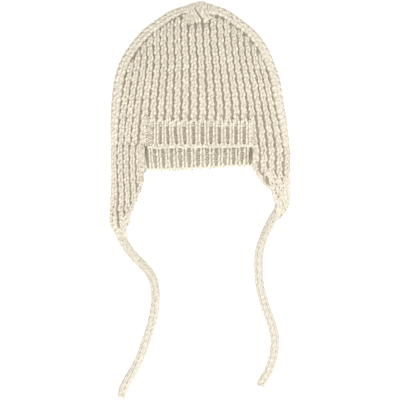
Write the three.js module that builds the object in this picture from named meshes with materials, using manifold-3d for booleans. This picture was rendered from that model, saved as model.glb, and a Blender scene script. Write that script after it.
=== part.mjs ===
// Knitted baby bonnet: a ribbed hollow crown, a forehead band, a nape band, two folded ear flaps and two
// knitted ties. It lies on its back on a surface. Millimetres; +Z up from that surface, +Y towards the top
// of the crown, X across the face. The middle of the bonnet without its ties is at X = Y = 0.

import * as THREE from "three";
import { mergeVertices } from "three/addons/utils/BufferGeometryUtils.js";
import Module from "manifold-3d";

const wasm = await Module();
wasm.setup();

// Driving dimensions of the crown.
const CROWN_WIDTH = 180; // from side fold to side fold, lying
const CROWN_LENGTH = 141.5; // from the side rim to the top, lying
const PUFF = 40; // height of the lying crown at its belly
const RIM_PUFF = 31; // height of the lying crown at its rim
const FOLD_HEIGHT = 12; // height of the side fold over the surface
const FOLD_REACH = 14; // how far the side fold curves in under the crown
const WALL = 4.6; // thickness of the crown's knit, rib crest to inside
const RIB_DEPTH = 1.6; // groove depth between two ribs
const EDGE_RIB = 10; // width of the rib that follows the outline over the top
const EDGE_RIB_AT_RIM = 6.5; // its width at the side rim
const NUB_WIDTH = 13; // gathered nub at the top
const NUB_LENGTH = 14;
const NUB_RISE = 2.5; // how far the nub stands past the crown's outline

// Driving dimensions of the bands.
const FRONT_RISE = 23; // height of the front rim over the side rim
const FRONT_BAND_DEPTH = 25.5; // forehead band, rim to cast-on edge
const FRONT_BAND_PITCH = 8.6; // rib to rib
const BACK_BAND_DEPTH = 24.5; // nape band
const BACK_BAND_TILT = 4; // how much shorter the nape band is at its right end
const BACK_BAND_PITCH = 9.4;
const BAND_WALL = 4.2;
const BAND_RIB_DEPTH = 1.5;

// Driving dimensions of the ear flaps and ties.
const FLAP_LENGTH_LEFT = 81; // side rim to the end of the folded sheet
const FLAP_LENGTH_RIGHT = 61;
const KNOT_REACH = 3.4; // how far the gathered tip stands past that end
const FLAP_RIB_PITCH = 6.6;
const FLAP_WALL = 4.2;
const TIP_HEIGHT = 11; // thickness of the folded flap at its tip
const TIE_DIAMETER = 8.4;
const KNOT_LENGTH = 16; // length of the gathered tip, most of it inside the folded flap
const GAP = 0.3; // clearance between neighbouring pieces
const SIDE_GAP = 0.36; // the same beside a slanted edge, measured across

// Shape of the curves between those sizes.
const DOME_POWER = 2.4; // how squarely the crown rises from its side folds
const SHOULDER = 0.3; // a rib's crest runs from this share of its pitch to its mirror image
const SIDE_CROWDING = 0.01; // ribs draw together towards the sides by this share each
const LAST_RIB = 10; // ribs from the middle to the edge rib
const FORK_RIB = 5.7; // the front rim's corners lie on these two ribs
const SLANT_RIB = 6.3;
const CORNER_SHARE = 0.42; // share of the crown's length where the arch of its outline begins
const EXTENSION = 90; // length by which the outline runs on below the rim
const EDGE_TURNS = 3; // ribs round the side fold, from the front inner line to the back one
const BAND_CREST = 0.28; // half the width of a band rib's crest, as a share of its pitch
const BAND_FLOOR = 0.42; // where the floor of the gap beside it begins
const BAND_RIBS = 5; // band ribs on each side of the middle one

// Rib marks and turns of the plain inner face of the crown, which has fewer facets than the ribbed outer one.
const INNER_MARKS = [-LAST_RIB, -8.4, -SLANT_RIB, -FORK_RIB, -4, -2, 0, 2, 4, FORK_RIB, SLANT_RIB, 8.4, LAST_RIB];
const INNER_TURNS = [0, 0.8, 1.5, 2.2, EDGE_TURNS];
const OUTER_ROWS = 11; // facet rows from the rim to the top
const INNER_ROWS = 7;

const HALF_WIDTH = CROWN_WIDTH / 2;
const TOTAL_LENGTH = NUB_RISE + CROWN_LENGTH + GAP + FLAP_LENGTH_LEFT + KNOT_REACH;
const SIDE_RIM_Y = TOTAL_LENGTH / 2 - NUB_RISE - CROWN_LENGTH;
const TOP_Y = SIDE_RIM_Y + CROWN_LENGTH;
const FRONT_RIM_Y = SIDE_RIM_Y + FRONT_RISE;
const FLAP_TOP_Y = SIDE_RIM_Y - GAP;

// Outline of the lying crown. up: share of its length over the side rim; left, right: shares of half its width.
const OUTLINE = [
  { up: 0.0, left: 0.995, right: 1.0 },
  { up: 0.177, left: 0.995, right: 0.965 },
  { up: 0.318, left: 0.983, right: 0.928 },
  { up: 0.459, left: 0.956, right: 0.894 },
  { up: 0.601, left: 0.883, right: 0.817 },
  { up: 0.707, left: 0.783, right: 0.739 },
  { up: 0.813, left: 0.639, right: 0.61 },
  { up: 0.883, left: 0.5, right: 0.475 },
  { up: 0.94, left: 0.365, right: 0.35 },
  { up: 0.979, left: 0.215, right: 0.22 },
  { up: 1.0, left: 0.0, right: 0.0 },
];

// Lie of the crown's ribs. up: as above; centre: place of the middle groove as a share of half the width;
// left, right: rib pitch on each side as a share of half the width.
const RIB_LIE = [
  { up: 0.0, centre: -0.022, left: 0.1, right: 0.103 },
  { up: 0.2, centre: -0.021, left: 0.0966, right: 0.099 },
  { up: 0.318, centre: -0.019, left: 0.0956, right: 0.0957 },
  { up: 0.487, centre: -0.027, left: 0.089, right: 0.0889 },
  { up: 0.601, centre: -0.03, left: 0.0856, right: 0.084 },
  { up: 0.713, centre: -0.046, left: 0.0844, right: 0.0833 },
  { up: 0.85, centre: -0.053, left: 0.0822, right: 0.0822 },
  { up: 1.0, centre: -0.06, left: 0.08, right: 0.08 },
];

// Outlines of the folded flaps. down: share of the flap's length below the side rim; outer: offset of the side
// fold from the crown's own, as a share of the flap's width; width: share of the width at the rim.
const FLAP_LEFT = [
  { down: 0.0, outer: 0.0, width: 1.0 },
  { down: 0.2, outer: 0.0, width: 1.0 },
  { down: 0.46, outer: -0.01, width: 0.96 },
  { down: 0.59, outer: 0.01, width: 0.87 },
  { down: 0.7, outer: 0.03, width: 0.78 },
  { down: 0.8, outer: 0.055, width: 0.7 },
  { down: 0.91, outer: 0.0, width: 0.55 },
  { down: 1.0, outer: -0.11, width: 0.36 },
];
const FLAP_RIGHT = [
  { down: 0.0, outer: 0.0, width: 1.0 },
  { down: 0.15, outer: 0.03, width: 1.03 },
  { down: 0.39, outer: 0.02, width: 1.0 },
  { down: 0.55, outer: 0.015, width: 0.79 },
  { down: 0.7, outer: 0.015, width: 0.58 },
  { down: 0.85, outer: 0.01, width: 0.42 },
  { down: 0.94, outer: -0.04, width: 0.36 },
  { down: 1.0, outer: -0.1, width: 0.33 },
];

// Routes of the ties from the flaps' tips to their free ends, along the middle of the cord.
const TIE_LEFT_ROUTE = [
  [-81.0, -114.6, 5.4], [-79.8, -119.0, 4.8], [-77.2, -124.6, 4.3], [-74.2, -130.0, 4.25], [-70.4, -135.4, 4.25],
  [-66.2, -140.6, 4.25], [-61.2, -145.6, 4.25], [-56.4, -150.4, 4.25], [-52.0, -155.6, 4.25], [-48.4, -161.2, 4.25],
  [-46.0, -167.4, 4.25], [-44.8, -174.0, 4.25], [-44.5, -181.0, 4.25], [-45.0, -190.0, 4.25], [-46.4, -200.0, 4.25],
  [-48.8, -210.0, 4.25], [-52.0, -220.0, 4.25], [-55.4, -230.0, 4.25], [-59.2, -240.0, 4.25], [-63.4, -249.0, 4.25],
  [-68.2, -258.0, 4.25], [-73.4, -267.0, 4.25], [-77.0, -274.4, 4.25], [-78.6, -281.8, 4.25],
];
const TIE_RIGHT_ROUTE = [
  [78.2, -95.2, 5.4], [75.6, -99.2, 4.8], [72.4, -104.0, 4.3], [69.6, -109.4, 4.25], [66.8, -115.0, 4.25],
  [64.2, -121.0, 4.25], [61.6, -128.0, 4.25], [59.6, -136.0, 4.25], [58.8, -145.0, 4.25], [58.9, -155.0, 4.25],
  [59.4, -165.0, 4.25], [61.0, -175.0, 4.25], [63.6, -185.0, 4.25], [66.8, -195.0, 4.25], [70.6, -205.0, 4.25],
  [73.6, -215.0, 4.25], [75.2, -225.0, 4.25], [74.6, -235.0, 4.25], [72.6, -245.0, 4.25], [69.2, -255.0, 4.25],
  [64.4, -263.4, 4.25], [60.6, -269.4, 4.25],
];
const TIE_SIDES = 10;
const TIE_STEP = 2.2; // length of one step, in diameters

const YARN = new THREE.MeshStandardMaterial({ color: 0xe3d9c4, roughness: 0.95, metalness: 0 });

const clamp = (value, low, high) => Math.min(Math.max(value, low), high);
const mix = (a, b, share) => a + (b - a) * share;
const ease = (share) => {
  const s = clamp(share, 0, 1);
  return s * s * (3 - 2 * s);
};

// A column of a table at a place between its rows, along a smooth cubic through them.
function valueAt(table, key, column, place) {
  const last = table.length - 1;
  let k = 0;
  while (k < last - 1 && place > table[k + 1][key]) k += 1;
  const slope = (row) => {
    const before = table[Math.max(row - 1, 0)];
    const after = table[Math.min(row + 1, last)];
    return (after[column] - before[column]) / (after[key] - before[key]);
  };
  const span = table[k + 1][key] - table[k][key];
  const s = clamp((place - table[k][key]) / span, 0, 1);
  const [s2, s3] = [s * s, s * s * s];
  return (
    (2 * s3 - 3 * s2 + 1) * table[k][column] +
    (s3 - 2 * s2 + s) * span * slope(k) +
    (3 * s2 - 2 * s3) * table[k + 1][column] +
    (s3 - s2) * span * slope(k + 1)
  );
}

// The crown's outline as points from below the left rim, over the top, to below the right rim.
function outlinePoints() {
  const place = (row, side) => new THREE.Vector3(side * HALF_WIDTH, SIDE_RIM_Y + row.up * CROWN_LENGTH, 0);
  const left = OUTLINE.map((row) => place(row, -row.left));
  const right = OUTLINE.slice(0, -1).reverse().map((row) => place(row, row.right));
  const arch = new THREE.CatmullRomCurve3([...left, ...right], false, "catmullrom", 0.5).getPoints(240);
  const below = (point) => new THREE.Vector3(point.x, point.y - EXTENSION, 0);
  return [below(arch[0]), ...arch, below(arch[arch.length - 1])];
}
const OUTLINE_POINTS = outlinePoints();

// Nearest point of the outline to (x, y), and its distance.
function nearestOutline(x, y) {
  let best = { distance: Infinity, x: 0, y: 0 };
  for (let k = 0; k < OUTLINE_POINTS.length - 1; k += 1) {
    const a = OUTLINE_POINTS[k];
    const b = OUTLINE_POINTS[k + 1];
    const [ex, ey] = [b.x - a.x, b.y - a.y];
    const s = clamp(((x - a.x) * ex + (y - a.y) * ey) / (ex * ex + ey * ey), 0, 1);
    const [px, py] = [a.x + s * ex, a.y + s * ey];
    const distance = Math.hypot(x - px, y - py);
    if (distance < best.distance) best = { distance, x: px, y: py };
  }
  return best;
}

const puffAt = (y) => mix(RIM_PUFF, PUFF, ease((y - FRONT_RIM_Y + FRONT_BAND_DEPTH) / (PUFF + FRONT_RISE)));
const riseShare = (share) => Math.sqrt(1 - (1 - clamp(share, 0, 1)) ** DOME_POWER);
const foldShare = (share) => 1 - Math.sqrt(1 - (1 - clamp(share, 0, 1)) ** 2);

// Heights of the upper and the lower layer at a distance from the outline; inset is 0 outside, the wall inside.
const upperHeight = (distance, y, inset) =>
  mix(FOLD_HEIGHT, puffAt(y) - inset, riseShare((distance - inset) / (HALF_WIDTH - inset)));
const lowerHeight = (distance, inset) =>
  mix(inset, FOLD_HEIGHT, foldShare((distance - inset) / (FOLD_REACH - inset)));

// Place across of rib mark i (whole numbers are grooves) at height y.
function ribX(i, y) {
  const up = (y - SIDE_RIM_Y) / CROWN_LENGTH;
  const pitch = valueAt(RIB_LIE, "up", i < 0 ? "left" : "right", up);
  return HALF_WIDTH * (valueAt(RIB_LIE, "up", "centre", up) + pitch * i * (1 - SIDE_CROWDING * Math.abs(i)));
}
const edgeRibAt = (y) => mix(EDGE_RIB_AT_RIM, EDGE_RIB, ease((y - SIDE_RIM_Y) / (CORNER_SHARE * CROWN_LENGTH)));
const isGroove = (mark) => Math.abs(mark - Math.round(mark)) < 1e-6;

// Collects triangles, then gives one closed solid.
class Surface {
  constructor() {
    this.corners = [];
  }

  triangle(a, b, c) {
    this.corners.push(a, b, c);
  }

  quad(a, b, c, d) {
    this.triangle(a, b, c);
    this.triangle(a, c, d);
  }

  // A grid of rows, each of equal length; closed joins each row's end to its start.
  grid(rows, closed = false, flipped = false) {
    for (let r = 0; r < rows.length - 1; r += 1) {
      const count = rows[r].length;
      for (let k = 0; k < (closed ? count : count - 1); k += 1) {
        const next = (k + 1) % count;
        const corners = [rows[r][k], rows[r][next], rows[r + 1][next], rows[r + 1][k]];
        this.quad(...(flipped ? corners.reverse() : corners));
      }
    }
  }

  // Joins two edges that run side by side, by their marks; each entry is { mark, point }.
  zip(first, second) {
    let [a, b] = [0, 0];
    while (a < first.length - 1 || b < second.length - 1) {
      const onFirst = b === second.length - 1 || (a < first.length - 1 && first[a + 1].mark <= second[b + 1].mark);
      if (onFirst) {
        this.triangle(first[a].point, second[b].point, first[a + 1].point);
        a += 1;
      } else {
        this.triangle(first[a].point, second[b].point, second[b + 1].point);
        b += 1;
      }
    }
  }

  solid() {
    const geometry = new THREE.BufferGeometry().setFromPoints(this.corners);
    return solidOf(geometry);
  }
}

function solidOf(geometry) {
  const bare = geometry.clone();
  bare.deleteAttribute("normal");
  bare.deleteAttribute("uv");
  const merged = mergeVertices(bare, 1e-3);
  const corners = Array.from(merged.index.array);
  const sound = [];
  for (let k = 0; k < corners.length; k += 3) {
    const [a, b, c] = corners.slice(k, k + 3);
    if (a !== b && b !== c && c !== a) sound.push(a, b, c);
  }
  const mesh = (list) =>
    new wasm.Manifold(
      new wasm.Mesh({
        numProp: 3,
        vertProperties: Float32Array.from(merged.attributes.position.array),
        triVerts: Uint32Array.from(list),
      }),
    );
  const made = mesh(sound);
  return made.volume() > 0 ? made : mesh(sound.reverse());
}

function geometryOf(solid) {
  const { vertProperties, triVerts } = solid.getMesh();
  const geometry = new THREE.BufferGeometry();
  geometry.setAttribute("position", new THREE.BufferAttribute(new Float32Array(vertProperties), 3));
  geometry.setIndex(new THREE.BufferAttribute(new Uint32Array(triVerts), 1));
  geometry.computeVertexNormals();
  return geometry;
}

// A sheet with two faces, given as grids of the same size, closed along its four edges.
function sheetSolid(outside, inside) {
  const surface = new Surface();
  surface.grid(outside);
  surface.grid(inside, false, true);
  const last = outside.length - 1;
  surface.grid([inside[0], outside[0]]);
  surface.grid([outside[last], inside[last]]);
  const column = (rows, k) => rows.map((row) => row[k]);
  const end = outside[0].length - 1;
  surface.grid([column(outside, 0), column(inside, 0)]);
  surface.grid([column(inside, end), column(outside, end)]);
  return surface.solid();
}

// Where the arch of rib marks ends: the place on rib i at the edge rib's inner line.
function ribTop(i) {
  const inside = (y) => nearestOutline(ribX(i, y), y).distance - edgeRibAt(y);
  let y = SIDE_RIM_Y + CORNER_SHARE * CROWN_LENGTH;
  while (inside(y + 1) > 0) y += 1;
  let [low, high] = [y, y + 1];
  for (let turn = 0; turn < 30; turn += 1) {
    const middle = (low + high) / 2;
    if (inside(middle) > 0) low = middle;
    else high = middle;
  }
  return { x: ribX(i, low), y: low };
}

// Place across, on the left (-1) or right (1), at the edge rib's inner line at height y.
function edgeX(side, y) {
  let [near, far] = [ribX(0, y), side * HALF_WIDTH];
  for (let turn = 0; turn < 40; turn += 1) {
    const middle = (near + far) / 2;
    const { distance, x } = nearestOutline(middle, y);
    if (distance > edgeRibAt(y) && side * (x - middle) > 0) near = middle;
    else far = middle;
  }
  return near;
}

// Rim of the crown's upper layer at rib mark i: the forehead's straight rim, its slanted ends and the side rims.
function frontRimPoint(i) {
  const side = Math.sign(i) || 1;
  const beyond = (Math.abs(i) - FORK_RIB) / (SLANT_RIB - FORK_RIB);
  if (beyond <= 0) return { x: ribX(i, FRONT_RIM_Y), y: FRONT_RIM_Y };
  if (beyond >= 1) return { x: ribX(i, SIDE_RIM_Y), y: SIDE_RIM_Y };
  return {
    x: mix(ribX(side * FORK_RIB, FRONT_RIM_Y), ribX(side * SLANT_RIB, SIDE_RIM_Y), beyond),
    y: mix(FRONT_RIM_Y, SIDE_RIM_Y, beyond),
  };
}

// One face of the crown, outer (inset 0) or inner (inset WALL), as rings over the rim and a cap over the top.
// marks: rib marks across a layer; turns: marks round the edge rib, 0 in front to 3 behind; rows: ring count.
function crownFace({ inset, marks, turns, rows, depth }) {
  const cornerY = SIDE_RIM_Y + CORNER_SHARE * CROWN_LENGTH;
  const relief = (mark) => (isGroove(mark) ? depth : 0);

  // A point of the edge rib at a turn, from the inner line's point p towards the outline.
  const edgePoint = (p, turn) => {
    const near = nearestOutline(p.x, p.y);
    const foot = p.level ? { x: near.x, y: p.y } : near;
    const [nx, ny] = [(p.x - foot.x) / near.distance, (p.y - foot.y) / near.distance];
    const at = (place) => {
      const share = place / (EDGE_TURNS / 2);
      const upper = share <= 1;
      const distance = inset + (near.distance - inset) * (upper ? (1 - share) ** 2 : (share - 1) ** 2);
      const height = upper ? upperHeight(distance, p.y, inset) : lowerHeight(distance, inset);
      return { distance, height };
    };
    const here = at(turn);
    const [back, ahead] = [at(Math.max(turn - 0.05, 0)), at(Math.min(turn + 0.05, EDGE_TURNS))];
    const [dd, dh] = [ahead.distance - back.distance, ahead.height - back.height];
    const length = Math.hypot(dd, dh);
    const distance = here.distance + (relief(turn) * -dh) / length;
    const height = here.height + (relief(turn) * dd) / length;
    return new THREE.Vector3(foot.x + nx * distance, foot.y + ny * distance, height);
  };

  const tops = marks.map((i) => {
    if (Math.abs(i) < LAST_RIB) return ribTop(i);
    return { x: edgeX(Math.sign(i), cornerY), y: cornerY };
  });
  const edgeStations = (side) =>
    rows.map((share) => {
      const y = mix(SIDE_RIM_Y, cornerY, share);
      return { x: edgeX(side, y), y, level: share === 0 };
    });
  const stations = { left: edgeStations(-1), right: edgeStations(1) };

  const layerPoint = (k, share, upper) => {
    const i = marks[k];
    const rim = upper ? frontRimPoint(i) : { x: ribX(i, SIDE_RIM_Y), y: SIDE_RIM_Y };
    const y = mix(rim.y, tops[k].y, share);
    const x = share === 0 ? rim.x : ribX(i, y);
    const { distance } = nearestOutline(x, y);
    const height = upper
      ? upperHeight(distance, y, inset) - relief(i)
      : lowerHeight(distance, inset) + relief(i);
    return new THREE.Vector3(x, y, height);
  };

  const inner = marks.slice(1, -1).map((_, k) => k + 1);
  const across = turns.slice(1, -1);
  const ring = (r) => {
    const share = rows[r];
    const topmost = r === rows.length - 1;
    const [left, right] = [stations.left[r], stations.right[r]];
    const front = inner.map((k) => (topmost ? edgePoint(tops[k], 0) : layerPoint(k, share, true)));
    const behind = inner.map((k) => (topmost ? edgePoint(tops[k], EDGE_TURNS) : layerPoint(k, share, false))).reverse();
    return [
      edgePoint(left, 0), ...front, edgePoint(right, 0),
      ...across.map((turn) => edgePoint(right, turn)),
      edgePoint(right, EDGE_TURNS), ...behind, edgePoint(left, EDGE_TURNS),
      ...[...across].reverse().map((turn) => edgePoint(left, turn)),
    ];
  };
  const lastRow = rows.length - 1;
  const capPoint = (k, turn) => {
    if (k === 0) return edgePoint(stations.left[lastRow], turn);
    if (k === marks.length - 1) return edgePoint(stations.right[lastRow], turn);
    return edgePoint(tops[k], turn);
  };
  const ringMarks = [
    ...marks,
    ...across.map((turn) => LAST_RIB + turn),
    ...[...marks].reverse().map((i) => 2 * LAST_RIB + EDGE_TURNS - i),
    ...[...across].reverse().map((turn) => 3 * LAST_RIB + 2 * EDGE_TURNS - turn),
  ];
  return {
    rings: rows.map((_, r) => ring(r)),
    cap: turns.map((turn) => marks.map((_, k) => capPoint(k, turn))),
    rim: ringMarks,
  };
}

// Marks of a row of ribs: a groove at each whole number and two shoulders between.
function ribMarks(from, to) {
  const marks = [from];
  for (let n = from; n < to; n += 1) marks.push(n + SHOULDER, n + 1 - SHOULDER, n + 1);
  return marks;
}

function crown() {
  const rowShares = (count) => Array.from({ length: count + 1 }, (_, r) => r / count);
  const outer = crownFace({
    inset: 0, marks: ribMarks(-LAST_RIB, LAST_RIB), turns: ribMarks(0, EDGE_TURNS), rows: rowShares(OUTER_ROWS),
    depth: RIB_DEPTH,
  });
  const inner = crownFace({
    inset: WALL, marks: INNER_MARKS, turns: INNER_TURNS, rows: rowShares(INNER_ROWS), depth: 0,
  });
  const surface = new Surface();
  surface.grid(outer.rings, true);
  surface.grid(outer.cap);
  surface.grid(inner.rings, true, true);
  surface.grid(inner.cap, false, true);
  const edge = (face) => {
    const ring = face.rings[0].map((point, k) => ({ mark: face.rim[k], point }));
    return [...ring, { mark: 3 * LAST_RIB + 2 * EDGE_TURNS, point: ring[0].point }];
  };
  surface.zip(edge(outer), edge(inner));
  const nub = new THREE.SphereGeometry(0.5, 12, 9);
  nub.scale(NUB_WIDTH, NUB_LENGTH, FOLD_HEIGHT);
  nub.translate(0, TOP_Y + NUB_RISE - NUB_LENGTH / 2, FOLD_HEIGHT);
  return surface.solid().add(solidOf(nub));
}

// Marks of a band of 1x1 rib, whose crests lie at whole numbers: crest edges and the floors of the gaps.
function bandMarks(from, to) {
  const marks = [];
  for (let n = from; n <= to; n += 1) {
    marks.push(n - BAND_CREST, n + BAND_CREST, n + BAND_FLOOR, n + 1 - BAND_FLOOR);
  }
  marks.splice(-2, 2);
  return marks;
}
const bandRelief = (mark) => (Math.abs(mark - Math.round(mark)) > BAND_CREST + 1e-6 ? BAND_RIB_DEPTH : 0);

// The forehead band hangs from the front rim, between the slanted ends of that rim and the flaps.
function frontBand() {
  const centre = HALF_WIDTH * RIB_LIE[0].centre;
  const top = FRONT_RIM_Y - GAP;
  const bottom = FRONT_RIM_Y - FRONT_BAND_DEPTH;
  const corner = (side) => frontRimPoint(side * FORK_RIB);
  const heel = (side) => frontRimPoint(side * SLANT_RIB);
  const endX = (side, y) => {
    const share = clamp((corner(side).y - y) / (corner(side).y - heel(side).y), 0, 1);
    return mix(corner(side).x, heel(side).x, share) - side * SIDE_GAP;
  };
  const marks = bandMarks(-BAND_RIBS, BAND_RIBS);
  const levels = [0, 0.35, 0.7, (FRONT_RISE - GAP) / (FRONT_BAND_DEPTH - GAP), 1];
  const row = (share, inside) => {
    const y = mix(top, bottom, share);
    const point = (x, mark) => {
      const { distance } = nearestOutline(x, y);
      const height = upperHeight(distance, y, 0) - (inside ? BAND_WALL - bandRelief(mark) : bandRelief(mark));
      return new THREE.Vector3(x, y, height - (inside ? BAND_RIB_DEPTH : 0));
    };
    const ribs = marks.map((mark) => point(centre + FRONT_BAND_PITCH * mark * (1 - SIDE_CROWDING * Math.abs(mark) / 2), mark));
    return [point(endX(-1, y), 0), ...ribs, point(endX(1, y), 0)];
  };
  return sheetSolid(levels.map((share) => row(share, false)), levels.map((share) => row(share, true)));
}

// The nape band lies on the surface and runs on from the crown's lower layer.
function backBand() {
  const centre = HALF_WIDTH * RIB_LIE[0].centre;
  const heel = (side) => frontRimPoint(side * SLANT_RIB).x - side * SIDE_GAP;
  const marks = bandMarks(-BAND_RIBS, BAND_RIBS);
  const levels = [0, 0.33, 0.67, 1];
  const row = (share, above) => {
    const point = (x, mark) => {
      const depth = BACK_BAND_DEPTH - BACK_BAND_TILT * ease(x / HALF_WIDTH + 0.4);
      const y = FLAP_TOP_Y - depth * share;
      return new THREE.Vector3(x, y, above ? BAND_WALL + BAND_RIB_DEPTH - bandRelief(mark) : bandRelief(mark));
    };
    const place = (mark) => centre + BACK_BAND_PITCH * mark * (1 - SIDE_CROWDING * Math.abs(mark));
    return [point(heel(-1), 0.5), ...marks.map((mark) => point(place(mark), mark)), point(heel(1), 0.5)];
  };
  return sheetSolid(levels.map((share) => row(share, true)), levels.map((share) => row(share, false)));
}

const tieCurve = (route) => new THREE.CatmullRomCurve3(route.map((point) => new THREE.Vector3(...point)));

// A folded ear flap: a sheet that runs from its upper free edge round the side fold to its lower free edge.
function earFlap({ side, length, table, route }) {
  const seamX = side * HALF_WIDTH * OUTLINE[0][side < 0 ? "left" : "right"];
  const width = Math.abs(seamX - frontRimPoint(side * SLANT_RIB).x);
  const outerX = (down) => seamX + side * width * valueAt(table, "down", "outer", down);
  const widthAt = (down) => width * valueAt(table, "down", "width", down);
  const ribCount = Math.floor(width / FLAP_RIB_PITCH);
  const half = ribMarks(0, ribCount).slice(1);
  half[half.length - 1] = width / FLAP_RIB_PITCH;
  const distanceOf = (mark) => FLAP_RIB_PITCH * (mark < 1 ? mark * mark : mark);

  // How far down a rib runs before the slanted edge cuts it.
  const endOf = (distance) => {
    let down = 1;
    while (down > 0.3 && widthAt(down) < distance) down -= 0.005;
    return down;
  };
  const heights = (distance, down, inset, upper) => {
    const s = ease(down);
    const fold = mix(FOLD_HEIGHT, TIP_HEIGHT / 2, s);
    if (!upper) {
      const reach = mix(FOLD_REACH, TIP_HEIGHT / 2 + inset, s);
      return mix(inset, fold, foldShare((distance - inset) / (reach - inset)));
    }
    const rise = mix(upperHeight(HALF_WIDTH, FLAP_TOP_Y, 0), TIP_HEIGHT, s) - inset;
    return mix(fold, rise, riseShare((distance - inset) / (mix(HALF_WIDTH, TIP_HEIGHT, s) - inset)));
  };
  const point = (mark, upper, share, inset) => {
    const outerDistance = distanceOf(mark);
    const down = share * endOf(outerDistance);
    const distance = inset + (outerDistance * (width - inset)) / width;
    const groove = isGroove(mark) ? RIB_DEPTH * (1 - 0.6 * down) * (inset ? 0 : 1) : 0;
    const step = 0.2;
    const rise = heights(distance + step, down, inset, upper) - heights(distance, down, inset, upper);
    const tilt = Math.hypot(step, rise);
    const sign = upper ? 1 : -1;
    const cut = (groove * sign * rise) / tilt;
    return new THREE.Vector3(
      outerX(down) - side * (distance + cut),
      FLAP_TOP_Y - length * down,
      heights(distance, down, inset, upper) - (groove * sign * step) / tilt,
    );
  };
  const shares = [0, 0.12, 0.26, 0.4, 0.54, 0.68, 0.82, 0.92, 1];
  const face = (inset) =>
    shares.map((share) => [
      ...[...half].reverse().map((mark) => point(mark, true, share, inset)),
      ...half.map((mark) => point(mark, false, share, inset)),
    ]);
  const sheet = sheetSolid(face(0), face(FLAP_WALL));

  // The tip, where the stitches are gathered into the tie.
  const radius = TIE_DIAMETER / 2 + 0.4;
  const profile = [[0, 0], [radius, 0], [TIP_HEIGHT / 2, 0.25], [0.47 * TIP_HEIGHT, 0.56], [radius - 2, 0.88], [0, 1]];
  const knot = new THREE.LatheGeometry(profile.map(([r, share]) => new THREE.Vector2(r, share * KNOT_LENGTH)), 14);
  const inward = tieCurve(route).getTangent(0).negate();
  knot.applyQuaternion(new THREE.Quaternion().setFromUnitVectors(new THREE.Vector3(0, 1, 0), inward));
  const start = new THREE.Vector3(...route[0]).addScaledVector(inward, GAP);
  knot.translate(start.x, start.y, start.z);
  return sheet.add(solidOf(knot));
}

// A knitted tie: a plain tube along its route, lying on the surface.
function tie(route) {
  const curve = tieCurve(route);
  const section = new THREE.Shape();
  section.absarc(0, 0, TIE_DIAMETER / 2, 0, 2 * Math.PI);
  const steps = Math.round(curve.getLength() / (TIE_STEP * TIE_DIAMETER));
  return new THREE.ExtrudeGeometry(section, { steps, curveSegments: TIE_SIDES, extrudePath: curve });
}

function piece(name, geometry) {
  const mesh = new THREE.Mesh(geometry, YARN.clone());
  mesh.name = name;
  return mesh;
}

const LEFT_FLAP = { side: -1, length: FLAP_LENGTH_LEFT, table: FLAP_LEFT, route: TIE_LEFT_ROUTE };
const RIGHT_FLAP = { side: 1, length: FLAP_LENGTH_RIGHT, table: FLAP_RIGHT, route: TIE_RIGHT_ROUTE };

const bonnet = new THREE.Group();
bonnet.add(
  piece("crown", geometryOf(crown())),
  piece("front_band", geometryOf(frontBand())),
  piece("back_band", geometryOf(backBand())),
  piece("ear_flap_left", geometryOf(earFlap(LEFT_FLAP))),
  piece("ear_flap_right", geometryOf(earFlap(RIGHT_FLAP))),
  piece("tie_left", tie(TIE_LEFT_ROUTE)),
  piece("tie_right", tie(TIE_RIGHT_ROUTE)),
);

export default bonnet;
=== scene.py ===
# %% [markdown]
# # A knitted baby bonnet, yarn by yarn
# The bonnet lies on its back, as on a table, and is seen from straight above. Its crown, bands and flaps
# are knitted rib. Knit could be faked by a bump on a smooth shape, but its ribs cast shadows and make the
# outline wavy, so here every stitch is a short piece of yarn over a thin wall of the same wool.

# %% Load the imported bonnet
import math
import bpy
import numpy as np
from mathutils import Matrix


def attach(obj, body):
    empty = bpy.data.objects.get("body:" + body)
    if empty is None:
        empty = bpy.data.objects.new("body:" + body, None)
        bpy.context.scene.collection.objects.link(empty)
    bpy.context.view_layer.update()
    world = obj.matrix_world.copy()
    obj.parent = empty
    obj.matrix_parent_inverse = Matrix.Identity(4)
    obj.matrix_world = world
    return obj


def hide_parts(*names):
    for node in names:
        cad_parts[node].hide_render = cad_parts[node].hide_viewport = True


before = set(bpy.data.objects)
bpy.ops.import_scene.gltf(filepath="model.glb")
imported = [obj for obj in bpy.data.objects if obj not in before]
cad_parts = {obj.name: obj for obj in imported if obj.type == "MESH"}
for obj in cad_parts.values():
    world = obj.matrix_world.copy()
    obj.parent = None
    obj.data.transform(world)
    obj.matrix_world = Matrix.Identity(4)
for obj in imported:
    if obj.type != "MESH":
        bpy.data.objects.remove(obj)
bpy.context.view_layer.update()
MM = 0.001
rng = np.random.default_rng(7)


print("CAD nodes:", sorted(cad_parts))

# %% [markdown]
# ## Camera
# The picture is taken from straight above. A long lens from far away keeps the tall crown from growing
# towards the camera, as a shop's picture of a lying garment does. One pixel is one millimetre at the side
# fold.

# %% Camera
FRAME_WIDTH = 400.0
FOLD_HEIGHT = 12.0
CAMERA_HEIGHT = 3000.0
PICTURE_CENTRE_Y = -84.15

camera_data = bpy.data.cameras.new("camera")
camera_data.sensor_width = 36.0
camera_data.lens = camera_data.sensor_width * CAMERA_HEIGHT / FRAME_WIDTH
camera = bpy.data.objects.new("camera", camera_data)
camera.location = (0.0, PICTURE_CENTRE_Y * MM, (CAMERA_HEIGHT + FOLD_HEIGHT) * MM)
bpy.context.collection.objects.link(camera)
bpy.context.scene.camera = camera
print("lens in mm:", round(camera_data.lens, 1))
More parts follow.
